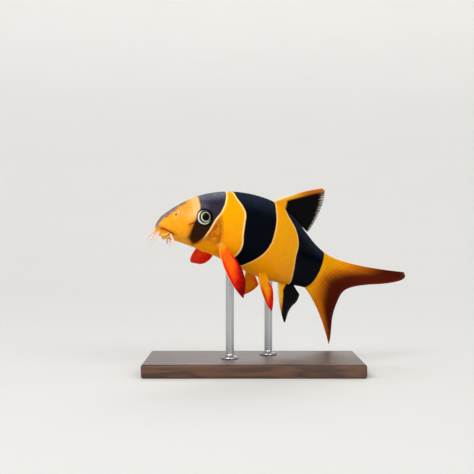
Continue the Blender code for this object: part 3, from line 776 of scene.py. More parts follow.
# The skin's patterns: how many cells of noise to a metre, and the depth of its bump in metres
MOTTLE = 420.0
BROAD = 90.0
CLOUDS = 170.0
WOBBLES = 700.0
GRAINS = 1300.0
SCALE_BUMP = 0.00009


def skin_material(colours, sizes):
    """Moist skin: orange ground, three dark bands with pale rims, and the head's own markings, with painted
    sheen and highlights on the bands' upper parts and the upper head, partly painted shade in the mouth line,
    slits and snout fold, and painted shade in the nostrils' pits and the gill groove.
    """
    sheet = Sheet("loach_skin")
    inside, soft, clear = sheet.field("bands")
    along, height, glow = sheet.field("place")
    eye, nostril, mouth = sheet.field("head")
    gill, slit, lips = sheet.field("marks")
    fin_root, side, fold = sheet.field("roots")
    mottle = sheet.noise(MOTTLE, 4.0)
    broad = sheet.noise(BROAD, 2.0, 0.5)
    fine = sheet.noise(GRAINS)
    wobble = (sheet.noise(WOBBLES, 2.0, 0.5) - 0.5) * 0.3

    low = (height + (broad - 0.5) * 0.5).step(0.35, -0.75)
    ground = sheet.mix(colours.orange, colours.deep_orange, low)
    speckle = mottle * 0.6 + fine * 0.4
    face = sheet.mix(colours.face, colours.peach, speckle.step(0.42, 0.66) * 0.55)
    cloud = sheet.noise(CLOUDS)
    cover = gill.step(-0.1, 0.9) * along.step(0.16, 0.21) * height.step(0.7, 0.3) * height.step(-0.9, -0.4)
    patches = (mottle * 0.7 + fine * 0.5).step(0.42, 0.72)
    halo = inside.step(-1.8, 0.1) * along.step(0.27, 0.24) * height.step(0.2, -0.2)
    chin = along.step(0.2, 0.08) * height.step(-0.55, -0.95)
    freckles = fine.step(0.56, 0.72) * along.step(0.26, 0.2) * (broad + mottle).step(0.75, 1.15)
    ground = ground.over(
        face, along.step(0.24, 0.12),
        colours.deep_orange, (cloud * 0.7 + mottle * 0.3).step(0.48, 0.62) * 0.55,
        colours.gill, cover * (0.35 + 0.65 * patches),
        colours.gill, halo * 0.6,
        colours.peach, chin * 0.6,
        # Partly a painted highlight: the pale peach in front of the first band.
        colours.glow, glow * 0.55,
        colours.gill, freckles * 0.65,
        colours.glow, (fin_root - 0.2).step(1.3, 0.2) * 0.7,
    )
    ground = sheet.shade(ground, 0.86 + 0.28 * speckle)

    stripe = (height - along * 2.0 + (mottle - 0.5) * 0.3).step(0.64, 0.80) * along.step(0.15, 0.11)
    tip = (along + (mottle - 0.5) * 0.02).step(0.018, 0.004) * height.step(-0.4, 0.3) * 0.7
    flush = height.step(0.55, 0.74) * height.step(0.92, 0.8)
    flush = flush * along.step(0.01, 0.03) * along.step(0.15, 0.125)
    # The groove behind the gill cover, for the painted shade along it.
    groove = (gill + 0.12).bell(0.17) * side.step(0.1, 0.5)
    width = sizes.rim_width / METRES
    depth = inside + wobble * (0.6 + soft)
    line = (depth + width * 0.9).bell(width * 0.8) * clear
    ground = ground.over(
        colours.snout, stripe.most(tip) * (fine * 0.6 + mottle * 0.4).step(0.15, 0.58),
        colours.crease, flush * (mottle * 0.5 + fine * 0.5).step(0.48, 0.66) * 0.75,
        colours.lip, lips.step(0.62, 0.3) * 0.6,
        # Partly red-brown skin and partly painted shade: the crease colour in the mouth line between the
        # lips.
        colours.crease, mouth.step(0.34, 0.1) * 0.9,
        colours.gill, (slit + (mottle - 0.5)).step(1.7, 0.3) * 0.45,
        # Partly red-brown skin and partly painted shade: the crease colour in the spine slits and in the
        # snout's fold under its overhang.
        colours.crease, (slit + (fine - 0.5) * 0.3).step(0.44, 0.12) * 0.9,
        colours.crease, nostril.step(1.5, 0.6) * fine.step(0.48, 0.6) * 0.55,
        # Painted shade in the nostrils' pits.
        colours.crease, nostril.step(0.38, 0.15) * 0.85,
        colours.lip, (nostril - 0.62).bell(0.28) * 0.6,
        colours.glow, fold.step(0.7, 0.25) * 0.9,
        # Painted shade along the groove behind the gill cover.
        colours.crease, groove * 0.38,
        colours.rim, line * 0.9,
    )

    # Painted highlight: the first band is paler grey on top of the head and over the brow, where the light
    # from above falls.
    brow_highlight = along.step(0.21, 0.17) * height.step(0.3, 0.55) * 0.45
    pale = height.step(0.75, 1.0).most(brow_highlight) * (0.3 + mottle)
    crown = sheet.mix(colours.crown, colours.crown_highlight, pale)
    first = sheet.mix(colours.cheek, crown, height.step(0.05, 0.45))
    first = first.over(sheet.shade(colours.gill, 0.14), height.step(-0.45, -0.8))
    first = sheet.shade(first, 0.6 + 0.8 * fine)
    # Painted sheen: towards the back the dark bands turn to the lighter, bluer sheen colour.
    upper = sheet.mix(colours.band, colours.band_sheen, height.step(0.5, 1.0) * (0.3 + 0.7 * mottle))
    dark = sheet.mix(upper, first, along.step(0.31, 0.29))
    banded = depth.step(soft * -1.0, soft)
    ground = ground.over(dark, banded, colours.band, (eye - 2.75).step(0.5, 0.15))

    scales = sheet.cells(1.0 / sizes.scale_size)
    return sheet.finish(
        Base_Color=ground,
        Specular_IOR_Level=0.0,
        Roughness=0.34 + 0.16 * mottle,
        Normal=sheet.bump(scales * 0.5 + fine * 0.5, SCALE_BUMP, 0.6),
        Coat_Weight=0.12 - 0.09 * banded,
        Coat_Roughness=0.12,
        Subsurface_Weight=0.04,
        Subsurface_Radius=(0.0012, 0.0005, 0.0002),
    )


# The fins

# How a ray that doesn't curl is written, how deep the roots lie in the body, how a fin thins
# outwards and its rays fade, how far a fleshy root reaches, and the rays' bump in metres
FLAT = (0, 0)
ROOT_SUNK = 1.3
ROOT_INSET = 1.2
FIN_TAPER = 1.3
RAY_FADE = 0.75
FLESH_REACH = 0.09
RAY_BUMP = 0.00012


def along_fan(values, s):
    """A value at share s of a fan, on a smooth curve through those of evenly spaced rays."""
    return smooth(s, np.linspace(0, 1, len(values)), np.array(values, float))


def skin_line(start, end, columns):
    """A fin's root line on the skin, from one (station, angle) to another."""
    s = np.linspace(0, 1, columns)
    t = start[0] + (end[0] - start[0]) * s
    return t, skin(t, start[1] + (end[1] - start[1]) * s)


def stem_line(start, end, columns):
    """A root line down the middle of the tail stem's end, from one height to another."""
    level = np.linspace(start, end, columns)
    t = STEM_END + STEM_SLANT * level
    middle, high, _ = section(t)
    place, _, _, up = spine(t)
    return t, place + up * (middle + high * level)[:, None]


def fan(line, inset, side, upward, rows, angle, splay, length, sweep, curl, tips=(0.05, 0.03)):
    """Points of a fin's middle surface, rays along axis 0 and the spread along axis 1.

    A ray leaves its root at an angle above the rearward direction (below it where upward is -1)
    and a splay to the side, and both turn evenly along it, so a point is the root plus the sum of
    the steps along the ray. The first row lies inside the body, and the outer corners are rounded.
    """
    t, root = line
    s = np.linspace(0, 1, len(t))
    r = np.linspace(0, 1, rows)[:, None]
    place, along, across, up = spine(t)
    a = np.radians(along_fan(angle, s) + along_fan(sweep, s) * (r - 0.5))[..., None]
    g = np.radians(along_fan(splay, s) + along_fan(curl, s) * (r - 0.5))[..., None]
    way = np.cos(g) * (np.cos(a) * along + upward * np.sin(a) * up) + side * np.sin(g) * across
    steps = np.diff(r, axis=0)[..., None] * (way[1:] + way[:-1]) / 2
    reach = along_fan(length, s) * (1 - tips[0] * bell(s, 0.035) - tips[1] * bell(1 - s, 0.05))
    rays = root + np.concatenate([0 * way[:1], np.cumsum(steps, 0)]) * reach[:, None]
    inward = unit(place + up * section(t)[0][:, None] - root)
    sunk = root - way[0] * ROOT_SUNK + inward * inset
    return np.concatenate([sunk[None], rays])


def ray_profile(s, r, rays):
    """Ridges across a fin, from 0 between the rays to 1 on them, each split in two further out."""
    whole = np.cos(math.pi * rays * s) ** 2
    halved = np.cos(2 * math.pi * rays * s) ** 2
    split = step(r, 0.35, 0.7)
    return (whole * (1 - split) + halved * split) * step(r, 0.0, 0.14)


def build_fin(name, middle, rays, material, slot, sizes, fleshy, *nodes):
    """A thin closed fin: the middle surface moved by half its thickness to both faces.

    The half thickness falls from root to edge and rises on each ray, and it closes to nothing in
    a half round along the free borders. A fleshy root adds a bell's width there.
    """
    rows, columns = middle.shape[:2]
    s = np.linspace(0, 1, columns)[None, :] + np.zeros((rows, 1))
    r = np.concatenate([[0.0], np.linspace(0, 1, rows - 1)])[:, None] + np.zeros((1, columns))
    ray = ray_profile(s, r, rays)
    root, edge, high = (value / METRES for value in (sizes.fin_thickness, sizes.fin_edge, sizes.ray_height))
    half = (edge + (root - edge) * (1 - r) ** FIN_TAPER) / 2 + high * ray * (1 - RAY_FADE * r)
    half += fleshy * bell(r, FLESH_REACH)
    border = np.minimum(np.minimum(s, 1 - s) * columns / 4.0, (1 - r) * rows / 4.0)
    half *= np.sqrt(1 - (1 - np.clip(border + 0.06, 0, 1)) ** 2)
    offset = grid_normals(middle) * half[..., None]
    ring = np.concatenate([middle + offset, (middle - offset)[:, ::-1]], 1).reshape(-1, 3)
    both = [np.concatenate([value, value[:, ::-1]], 1) for value in (s, r, ray)]
    wide = 2 * columns
    j = np.arange(columns - 1)
    end = (rows - 1) * wide
    caps = [np.stack([start + j, start + wide - 1 - j, start + wide - 2 - j, start + j + 1], -1)[:, ::way]
            for start, way in ((0, 1), (end, -1))]
    quads = np.concatenate([grid_faces(rows, wide), *caps])
    surface = ring, quads, np.zeros((0, 3), int), {"fin": np.stack(both, -1)}
    return make_piece(name, surface, material, slot, *nodes)


def fin_sheet(name):
    """A fin's material with its fields: across it from the leading ray, outwards, and up its rays.

    The last one is a pattern of long streaks that run out along the rays.
    """
    sheet = Sheet(name)
    across, out, ray = sheet.field("fin")
    place = sheet.node("ShaderNodeCombineXYZ", None, {0: across * 60.0, 1: out * 3.0})
    return sheet, across, out, ray, sheet.noise(1.0, place=place)


def fin_finish(sheet, colour, ray, streak, alpha=1.0, glow=0.1):
    """The moist, faintly see-through surface that all the fins share."""
    return sheet.finish(
        Base_Color=colour,
        Specular_IOR_Level=0.0,
        Roughness=0.36 + 0.14 * streak,
        Alpha=alpha,
        Normal=sheet.bump(ray * 0.6 + streak * 0.4, RAY_BUMP, 0.6),
        Coat_Weight=0.08,
        Coat_Roughness=0.25,
        Subsurface_Weight=glow,
        Subsurface_Radius=(0.0020, 0.0005, 0.0002),
    )


def dark_fin_material(name, colours, strip, strip_end, base, base_rise, clear):
    """A black fin with a yellow leading strip and a ragged margin, clear by a share.

    The strip narrows to nothing at strip_end. The orange of the body fills a corner that reaches
    base along the root and base_rise along the leading ray.
    """
    sheet, across, out, ray, streak = fin_sheet(name)
    ragged = (streak - 0.5) * 0.08
    width = strip * (1.0 - 0.35 * out) * (out + ragged).step(strip_end + 0.15, strip_end - 0.35)
    bare = (across - width + ragged).step(0.04, -0.03) * width.step(0.0, 0.02)
    root = (out / base_rise + across / base + ragged).step(1.1, 0.9)
    yellow = sheet.mix(colours.fin_yellow, colours.tail_orange, (out + ragged).step(0.35, 0.75))
    # Painted highlight: the rim colour along the leading edge near the root.
    yellow = yellow.over(colours.rim, across.step(0.05, 0.015) * out.step(0.6, 0.3) * 0.7)
    colour = sheet.mix(colours.fin_black, yellow, bare.most(root))
    margin = (out + (streak - 0.5) * 0.2).step(0.86, 1.0) * across.step(0.04, 0.2) * clear
    colour = colour.over(colours.fin_margin, margin * (0.8 - 0.5 * ray))
    alpha = 1.0 - 0.75 * margin * (1.0 - ray * 0.5)
    return fin_finish(sheet, sheet.shade(colour, 0.85 + 0.3 * streak), ray, streak, alpha)


def red_fin_material(name, colours, middle, red_from, red, deep, body):
    """A fin with a lighter middle, edges and tip that turn red by a share and dark red by another,
    the dark red partly painted shade, and a pale leading ray. The body's orange reaches out along its root."""
    sheet, across, out, ray, streak = fin_sheet(name)
    blotch = sheet.noise(500.0)
    ragged = (streak - 0.5) * 0.2 + (blotch - 0.5) * 0.3
    tip = (out + ragged * 0.5).step(red_from, red_from + 0.35)
    lead = (across + ragged * 0.3).step(0.32, 0.06) * out.step(0.1, 0.4)
    trail = (across - ragged * 0.3).step(0.6, 0.9) * out.step(0.25, 0.6)
    colour = sheet.mix(getattr(colours, middle), colours.fin_red, tip.most(lead.most(trail)) * red)
    # Partly painted shade: dark red at the tip and along the trailing edge.
    end = tip * (out + ragged).step(red_from + 0.15, 0.95)
    colour = colour.over(
        colours.fin_dark, end.most(trail * (out + ragged).step(0.5, 1.0)) * deep,
        colours.glow, across.step(0.04, 0.01) * out.step(0.85, 0.5) * 0.7,
        colours.deep_orange, (out + ragged * 0.3).step(body, 0.02),
    )
    colour = sheet.shade(colour, 0.74 + 0.22 * ray + 0.18 * streak + 0.1 * blotch)
    return fin_finish(sheet, colour, ray, streak, 1.0 - 0.2 * out.step(0.9, 1.0), 0.45)


def tail_fin_material(colours):
    """The tail fin: orange at its root and outer rays, red-brown at the fork and the tips."""
    sheet, across, out, ray, streak = fin_sheet("tail_fin")
    ragged = (streak - 0.5) * 0.2
    inner = 1.0 - 2.0 * sheet.maths("ABSOLUTE", across - 0.5)
    orange = sheet.mix(colours.orange, colours.tail_orange, (out + inner * 0.1 + ragged).step(0.05, 0.45))
    upper = across.step(0.5, 0.1) * 0.12
    lower = across.step(0.75, 1.0) * 0.2
    brown = (out + inner * 0.3 + upper - lower + ragged).step(0.42, 0.92)
    colour = sheet.mix(orange, colours.tail_brown, brown)
    tone = (0.80 + 0.25 * ray + 0.2 * streak) * (1.0 - 0.4 * inner * out.step(0.5, 1.0))
    return fin_finish(sheet, sheet.shade(colour, tone), ray, streak, 1.0 - 0.15 * out.step(0.9, 1.0))


# The fins' shapes, each with a value for evenly spaced rays from the leading to the trailing one,
# and where their roots run on the skin
DORSAL_ROOT = ((0.505, UP), (0.69, UP))
DORSAL = dict(angle=(38.5, 32, 21, 7.5, -9), splay=(-20, -18, -15, -12, -9),
              length=(21.0, 17.8, 14.0, 10.3, 6.8), sweep=(-14, -14, -8, -4, 0), curl=FLAT)
DORSAL_LOOK = dict(strip=0.115, strip_end=1.4, base=0.4, base_rise=0.3, clear=1.0)
ANAL_ROOT = ((0.760, DOWN), (0.878, DOWN))
ANAL = dict(angle=(58, 51, 44, 36, 24), splay=(-22, -21, -20, -19, -18),
            length=(16.9, 12.3, 9.9, 8.4, 5.6), sweep=(-31, -18, -8, 0, 0), curl=FLAT)
ANAL_LOOK = dict(strip=0.24, strip_end=0.66, base=0.5, base_rise=0.4, clear=0.1)
TAIL_ROOT = (0.985, -0.985)
TAIL = dict(angle=(18, 12, 0, -8, -16, -26, -32, -34.5, -35),
            splay=(-34, -31, -28, -25, -22, -19, -16, -13, -10),
            length=(32.6, 32.6, 21.5, 16.4, 15.0, 17.0, 20.7, 26.8, 33.6),
            sweep=(34, 26, 4, 0, 0, -4, -10, -18, -28),
            curl=(-30, -28, -26, -24, -22, -20, -18, -16, -14), tips=(0.03, 0.03))
CHEST_ROOT = ((0.270, math.radians(-45)), (0.296, math.radians(-36)))
CHEST = {
    "left": dict(angle=(58, 55, 49, 44, 45), splay=(22, 24, 27, 30, 33),
                 length=(21.2, 18.8, 15.1, 10.7, 7.4), sweep=(-36, -26, -16, -8, 0)),
    "right": dict(angle=(58, 59, 58, 53, 46), splay=(50, 42, 32, 22, 14),
                  length=(21.0, 17.4, 14.4, 11.4, 8.8), sweep=(-60, -46, -28, -12, 0)),
}
CHEST_LOOK = {
    # Partly painted shade: the left pectoral fin's deep dark red at its tip and trailing edge.
    "left": dict(middle="fin_orange", red_from=0.45, red=1.0, deep=0.95, body=0.16),
    # Painted light: the right pectoral fin's look is a lightened copy, brighter and with little dark red, for
    # a fin in shade.
    "right": dict(middle="fin_lit_red", red_from=0.5, red=0.65, deep=0.12, body=0.12),
}
KEEL_ROOT = ((0.550, math.radians(-66)), (0.590, math.radians(-58)))
KEEL = {
    "left": dict(angle=(46, 42, 40), splay=(14, 17, 20), length=(16.7, 11.6, 6.6), sweep=(-34, -18, 0)),
    "right": dict(angle=(44, 34, 25), splay=(26, 18, 10), length=(16.6, 13.9, 10.6), sweep=(-20, -12, 0)),
}
KEEL_LOOK = {
    "left": dict(middle="keel_orange", red_from=0.54, red=1.0, deep=0.0, body=0.5),
    # Painted light: the right pelvic fin's look is lightened, with less red and more of the body's orange,
    # for a fin in shade.
    "right": dict(middle="keel_orange", red_from=0.7, red=0.6, deep=0.0, body=0.6),
}

# The fins' grids: columns across, rows outwards and rays
DORSAL_GRID = (141, 48, 10)
ANAL_GRID = (111, 42, 7)
TAIL_GRID = (261, 70, 18)
CHEST_GRID = (131, 50, 11)
KEEL_GRID = (91, 44, 7)

# How much thicker each face is at a fleshy root
TAIL_FLESH = 0.55
CHEST_FLESH = 0.25
KEEL_FLESH = 0.2


def build_fins(colours, sizes):
    """All seven fins. The tail fin's two lobes are one membrane."""
    middle_fins = (("dorsal", 1, DORSAL_ROOT, DORSAL, DORSAL_LOOK, DORSAL_GRID),
                   ("anal", -1, ANAL_ROOT, ANAL, ANAL_LOOK, ANAL_GRID))
    for name, upward, root, shape, look, (columns, rows, rays) in middle_fins:
        surface = fan(skin_line(*root, columns), ROOT_INSET, 1, upward, rows, **shape)
        black = dark_fin_material(name + "_fin", colours, **look)
        build_fin(name, surface, rays, black, "dark_fin", sizes, 0.0, name + "_fin")
    columns, rows, rays = TAIL_GRID
    surface = fan(stem_line(*TAIL_ROOT, columns), 0.0, 1, 1, rows, **TAIL)
    lobes = ("caudal_fin_upper", "caudal_fin_lower")
    build_fin("tail", surface, rays, tail_fin_material(colours), "tail_fin", sizes, TAIL_FLESH, *lobes)
    pairs = (("pectoral", CHEST_ROOT, CHEST, CHEST_LOOK, CHEST_GRID, CHEST_FLESH),
             ("pelvic", KEEL_ROOT, KEEL, KEEL_LOOK, KEEL_GRID, KEEL_FLESH))
    for side, word in SIDES:
        for kind, root, shape, look, (columns, rows, rays), fleshy in pairs:
            node = kind + "_fin_" + word
            line = skin_line(*[(t, on_side(rise, side)) for t, rise in root], columns)
            surface = fan(line, ROOT_INSET, side, -1, rows, curl=FLAT, **shape[word])
            red = red_fin_material(node, colours, **look[word])
            build_fin(kind + "_" + word, surface, rays, red, "red_fin", sizes, fleshy, node)


# The barbels: four pairs, by their root's station and drop, their length and the way they hang

BARBELS = {
    "rostral_outer": dict(station=0.011, rise=-40, length=4.4, thick=0.48, way=(-0.60, -0.70, 0.35)),
    "rostral_inner": dict(station=0.008, rise=-68, length=4.0, thick=0.44, way=(-0.40, -0.85, 0.12)),
    "maxillary": dict(station=0.052, rise=-36, length=4.2, thick=0.48, way=(0.40, -0.80, 0.30)),
    "mandibular": dict(station=0.062, rise=-76, length=2.3, thick=0.44, way=(0.10, -0.95, 0.10)),
}
BARBEL_POINTS = 36
BARBEL_COLUMNS = 24
BARBEL_SUNK = 0.8
BARBEL_THINS = 0.5
BARBEL_SWELL = 0.35
BARBEL_TIP = 0.9


def build_barbel(kind, size, side, word, material):
    """A tube that thins towards a round tip: it leaves the skin straight and turns to hang down."""
    angle = on_side(math.radians(size["rise"]), side)
    root = skin(size["station"], angle)
    out = outward(size["station"], angle)
    _, along, across, up = spine(size["station"])
    back, rise, sideways = size["way"]
    hang = unit(along * back + up * rise + across * side * sideways)
    s = np.linspace(0, 1, BARBEL_POINTS)[:, None]
    bend = np.sin(s * UP)
    way = unit(out * (1 - bend) + hang * bend)
    length = size["length"] + BARBEL_SUNK
    path = root - out * BARBEL_SUNK + np.cumsum(way, 0) * length / BARBEL_POINTS
    share = s[:, 0]
    swell = 1 + BARBEL_SWELL * bell(share - 0.12, 0.1)
    radii = size["thick"] * 0.92 * (1 - BARBEL_THINS * share) * swell
    radii *= np.sqrt(1 - np.clip((share - BARBEL_TIP) / 0.101, 0, 1) ** 2)
    rings = sweep_tube(path, radii, BARBEL_COLUMNS)
    field = np.stack([np.broadcast_to(share[:, None], rings.shape[:2])] * 3, -1)
    node = "barbel_" + kind + "_" + word
    return make_piece(node + "_skin", closed_tube(rings, share=field), material, "barbel", node)


def barbel_material(colours):
    """Soft whitish pink skin, yellower at the root, with fine rings."""
    sheet = Sheet("barbel_skin")
    share, _, _ = sheet.field("share")
    mottle = sheet.noise(1500.0)
    colour = sheet.mix(colours.face, colours.barbel, (share + mottle * 0.1).step(0.12, 0.4))
    colour = sheet.shade(colour, 0.85 + 0.25 * mottle)
    rings = sheet.maths("SINE", share * 120.0)
    return sheet.finish(
        Base_Color=colour,
        Roughness=0.38 + 0.1 * mottle,
        Normal=sheet.bump(rings * 0.15 + mottle, 0.00003, 0.5),
        Subsurface_Weight=0.25,
        Subsurface_Radius=(0.001, 0.0004, 0.0003),
    )


# The eyes

EYE_COLUMNS = 96
EYE_FRONT_ROWS = 60
EYE_REAR_ROWS = 20
PUPIL_REAR = 0.22
PUPIL_UP = 0.05


def build_eye(side, word, material):
    """A ball flattened along the way it looks: radius * sin(x) round the axis and depth * cos(x) along it."""
    _, centre, axis = eye_place(side)
    rear, up = eye_frame(side)
    front = np.linspace(0.01, UP, EYE_FRONT_ROWS)
    x = np.concatenate([front, np.linspace(UP, math.pi - 0.05, EYE_REAR_ROWS)[1:]])[:, None]
    turn = full_turn(EYE_COLUMNS)
    level = EYE_RADIUS * np.sin(x) * np.cos(turn)
    high = EYE_RADIUS * np.sin(x) * np.sin(turn)
    ahead = EYE_DEPTH * np.cos(x) + 0 * turn
    local = np.stack([level, high, ahead], -1)
    rings = centre + local @ np.stack([rear, up, axis])
    surface = closed_tube(rings, eye_place=local)
    return make_piece("eyeball_" + word, surface, material, "eye", "eye_" + word)


def eye_material(colours, sizes):
    """Dark pupil, golden ring, dark ring, white ring and a dark border, under a clear gloss."""
    sheet = Sheet("eye_skin")
    rear, up, _ = sheet.field("eye_place")
    shift = rear - PUPIL_REAR
    lift = up - PUPIL_UP
    inner = (shift * shift + lift * lift) ** 0.5
    outer = (rear * rear + up * up) ** 0.5
    grain = sheet.noise(2600.0)
    pupil, iris, white = (value / METRES for value in (sizes.pupil, sizes.iris, sizes.white))
    dark = colours.eye_dark
    low_front = (up * -0.7 - rear * 0.7).step(-1.6, 0.9)
    silver = sheet.mix(colours.eye_shade, colours.eye_white, low_front * 0.95 + grain * 0.15)
    ring = (outer - (white - 0.24) + (grain - 0.5) * 0.12).bell(0.16 + 0.09 * low_front)
    colour = sheet.mix(dark, silver, ring)
    gold = sheet.mix(colours.eye_shade, colours.eye_gold, grain.step(0.15, 0.6))
    band = inner.step(iris + 0.06, iris - 0.1)
    hole = inner.step(pupil + 0.06, pupil - 0.06)
    colour = colour.over(gold, band * (0.6 + 0.4 * low_front), dark, hole)
    return sheet.finish(
        Base_Color=colour,
        Specular_IOR_Level=0.0,
        Roughness=0.25 + 0.1 * grain,
        Coat_Weight=0.25,
        Coat_Roughness=0.03,
        Coat_IOR=1.33,
    )


# The stand

CORNER_POINTS = 9
ROD_COLUMNS = 64
ROD_ROWS = 30
FOOT_EDGE = 0.15


def build_base(material):
    """A board: a rounded outline carried up a profile with rounded edges.

    The outline is a rectangle's with corners of one radius, drawn in by the profile.
    """
    width, depth, height = BASE_SIZE
    x = np.linspace(0, UP, CORNER_POINTS)
    drawn_in = BASE_EDGE * np.concatenate([1 - np.sin(x), 1 - np.cos(x)])
    level = np.concatenate([BASE_EDGE * (1 - np.cos(x)), height - BASE_EDGE + BASE_EDGE * np.sin(x)])
    turns = np.concatenate([x + UP * k for k in range(4)])
    signs = np.repeat([(1, 1), (-1, 1), (-1, -1), (1, -1)], CORNER_POINTS, axis=0)
    radius = np.maximum(BASE_EDGE - drawn_in, 0.02)[:, None]
    across = signs[:, 0] * (width / 2 - BASE_EDGE) + radius * np.cos(turns)
    deep = signs[:, 1] * (depth / 2 - BASE_EDGE) + radius * np.sin(turns)
    rings = np.stack([across, deep, level[:, None] + 0 * across], -1)
    return make_piece("base_board", closed_tube(rings), material, "stand_wood", "stand_base")


def build_rod(word, station, material):
    """A turned rod with a foot, its top cut to the belly's skin: rings of the profile's radius."""
    under = skin(station, DOWN)
    foot = BASE_SIZE[2]
    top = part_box("stand_rod_" + word)[1].z / METRES
    profile = np.array([
        (FOOT_RADIUS - FOOT_EDGE, 0.0), (FOOT_RADIUS, FOOT_EDGE), (FOOT_RADIUS, FOOT_HEIGHT * 0.4),
        (FOOT_RADIUS - 0.3, FOOT_HEIGHT * 0.62), (ROD_RADIUS + 0.5, FOOT_HEIGHT * 0.9),
        (ROD_RADIUS, FOOT_HEIGHT + 0.3),
    ])
    heights = np.concatenate([foot + profile[:, 1], np.linspace(foot + profile[-1, 1] + 0.4, top, ROD_ROWS)])
    radii = np.concatenate([profile[:, 0], np.full(ROD_ROWS, ROD_RADIUS)])[:, None]
    turn = full_turn(ROD_COLUMNS)
    x = under[0] + radii * np.cos(turn)
    y = under[1] + radii * np.sin(turn)
    z = np.minimum(heights[:, None], belly_level(x, y, station) - SEAM)
    surface = closed_tube(np.stack([x, y, z], -1))
    return make_piece("rod_" + word, surface, material, "stand_steel", "stand_rod_" + word)


def belly_level(x, y, station):
    """The height of the belly's skin over places near a station: its plane there, with its round added."""
    under = skin(station, DOWN)
    normal = outward(station, DOWN)
    flat = under[2] - ((x - under[0]) * normal[0] + (y - under[1]) * normal[1]) / normal[2]
    across = spine(station)[2]
    aside = (x - under[0]) * across[0] + (y - under[1]) * across[1]
    _, high, half = section(np.asarray(station))
    return flat + aside ** 2 * high / (2 * half ** 2)


def wood_material(colours):
    """Satin walnut: long wavy grain along the board, with pores and a slow change of tone."""
    sheet = Sheet("walnut")
    bend = sheet.noise(1.0, rough=0.5, place=sheet.places((18.0, 130.0, 130.0)))
    fine = sheet.noise(1.0, 4.0, 0.65, sheet.places((60.0, 1400.0, 1400.0)))
    lines = sheet.maths("SINE", bend * 46.0)
    grain = lines * 0.25 + 0.5 + (fine - 0.5) * 0.9
    colour = sheet.mix(colours.wood_dark, colours.wood, grain.step(0.05, 0.95))
    colour = sheet.shade(colour, 0.85 + 0.3 * sheet.noise(40.0, 2.0, 0.5))
    return sheet.finish(
        Base_Color=colour,
        Roughness=0.36 + 0.16 * fine,
        Normal=sheet.bump(fine, 0.00006, 0.5),
        Coat_Weight=0.15,
        Coat_Roughness=0.25,
    )


def steel_material(colours):
    """Finely brushed steel, its marks running round the rod."""
    sheet = Sheet("steel")
    brushed = sheet.noise(1.0, 3.0, 0.7, sheet.places((260.0, 260.0, 9000.0)))
    soft = sheet.noise(220.0, 2.0, 0.5)
    return sheet.finish(
        Base_Color=sheet.shade(colours.steel, 0.8 + 0.2 * brushed),
        Metallic=1.0,
        Roughness=0.24 + 0.16 * brushed + 0.06 * soft,
        Normal=sheet.bump(brushed, 0.00002, 0.5),
    )


# The stage


def floor_material(colours):
    """A pale, even, matt surface with the faintest cloudiness."""
    sheet = Sheet("pale_floor")
    cloud = sheet.noise(6.0, 2.0, 0.5)
    colour = sheet.shade(colours.floor, 0.985 + 0.03 * cloud)
    return sheet.finish(Base_Color=colour, Roughness=0.75 + 0.05 * cloud)


FLOOR_FLAT = 800.0
FLOOR_SWEEP = 2200.0
FLOOR_RISE = 900.0
FLOOR_COLUMNS = 128
FLOOR_ROWS = 12
SWEEP_ROWS = 60

# The suns: the direction that each comes from, its power and its colour
SUNS = {
    "key": ((-0.45, -0.80, 0.72), 1.3, (1.0, 0.98, 0.95)),
    "fill": ((0.50, -0.80, 0.50), 1.1, (0.98, 0.99, 1.0)),
    "back": ((0.1, 0.9, 0.7), 0.7, (1.0, 1.0, 1.0)),
}
SUN_SPREAD = math.radians(30)
SOFTBOX_PLACE = (-0.30, -0.42, 0.50)
SOFTBOX_TARGET = (-0.01, 0.0, 0.05)
SOFTBOX_POWER = 1.1
SOFTBOX_SIZE = 0.30
WHITE = (1.0, 1.0, 1.0)
SKY = (0.86, 0.87, 0.88, 1.0)
SKY_STRENGTH = 0.4


def build_floor(material):
    """A round floor whose rim sweeps up: a flat disc, then a quarter of an ellipse, sin(x) outwards
    and 1 - cos(x) upwards."""
    turn = full_turn(FLOOR_COLUMNS)
    flat = np.linspace(0.001, 1, FLOOR_ROWS)[:, None]
    x = np.linspace(0, UP, SWEEP_ROWS)[1:, None]
    radius = np.concatenate([FLOOR_FLAT * flat, FLOOR_FLAT + FLOOR_SWEEP * np.sin(x)])
    rise = np.concatenate([0 * flat, FLOOR_RISE * (1 - np.cos(x))])
    rings = np.stack([radius * np.cos(turn), radius * np.sin(turn), rise + 0 * turn], -1)
    points = np.concatenate([rings.reshape(-1, 3), np.zeros((1, 3))])
    j = np.arange(FLOOR_COLUMNS)
    middle = np.stack([np.full(FLOOR_COLUMNS, len(points) - 1), j, (j + 1) % FLOOR_COLUMNS], -1)
    quads = grid_faces(len(rings), FLOOR_COLUMNS)[:, ::-1]
    make_object("floor", points, quads, middle, material)


def add_light(name, kind, place, target, power, colour, **settings):
    """A light that faces a target: a square softbox, or an even sun from far away in that direction."""
    lamp = bpy.data.lights.new(name, kind)
    lamp.energy = power
    lamp.color = colour
    for key, value in settings.items():
        setattr(lamp, key, value)
    thing = bpy.data.objects.new(name, lamp)
    thing.location = place
    thing.rotation_euler = (Vector(target) - Vector(place)).to_track_quat("-Z", "Y").to_euler()
    bpy.context.scene.collection.objects.link(thing)


def add_camera():
    """The camera at the photo's angle and framing."""
    camera = bpy.data.objects.new("camera", bpy.data.cameras.new("camera"))
    camera.location = CAMERA_PLACE
    camera.rotation_euler = (UP, 0.0, 0.0)
    camera.data.lens = CAMERA_LENS
    camera.data.sensor_width = CAMERA_SENSOR
    camera.data.clip_start, camera.data.clip_end = CAMERA_CLIP
    bpy.context.scene.collection.objects.link(camera)
    bpy.context.scene.camera = camera


class LOACH_OT_skin(bpy.types.Operator):
    """Make the skin of the head, trunk and tail stem"""

    bl_idname = "loach.skin"
    bl_label = "Skin"

    def execute(self, context):
        scene = context.scene
        build_skin(skin_material(scene.loach_colours, scene.loach_sizes))
        return {"FINISHED"}


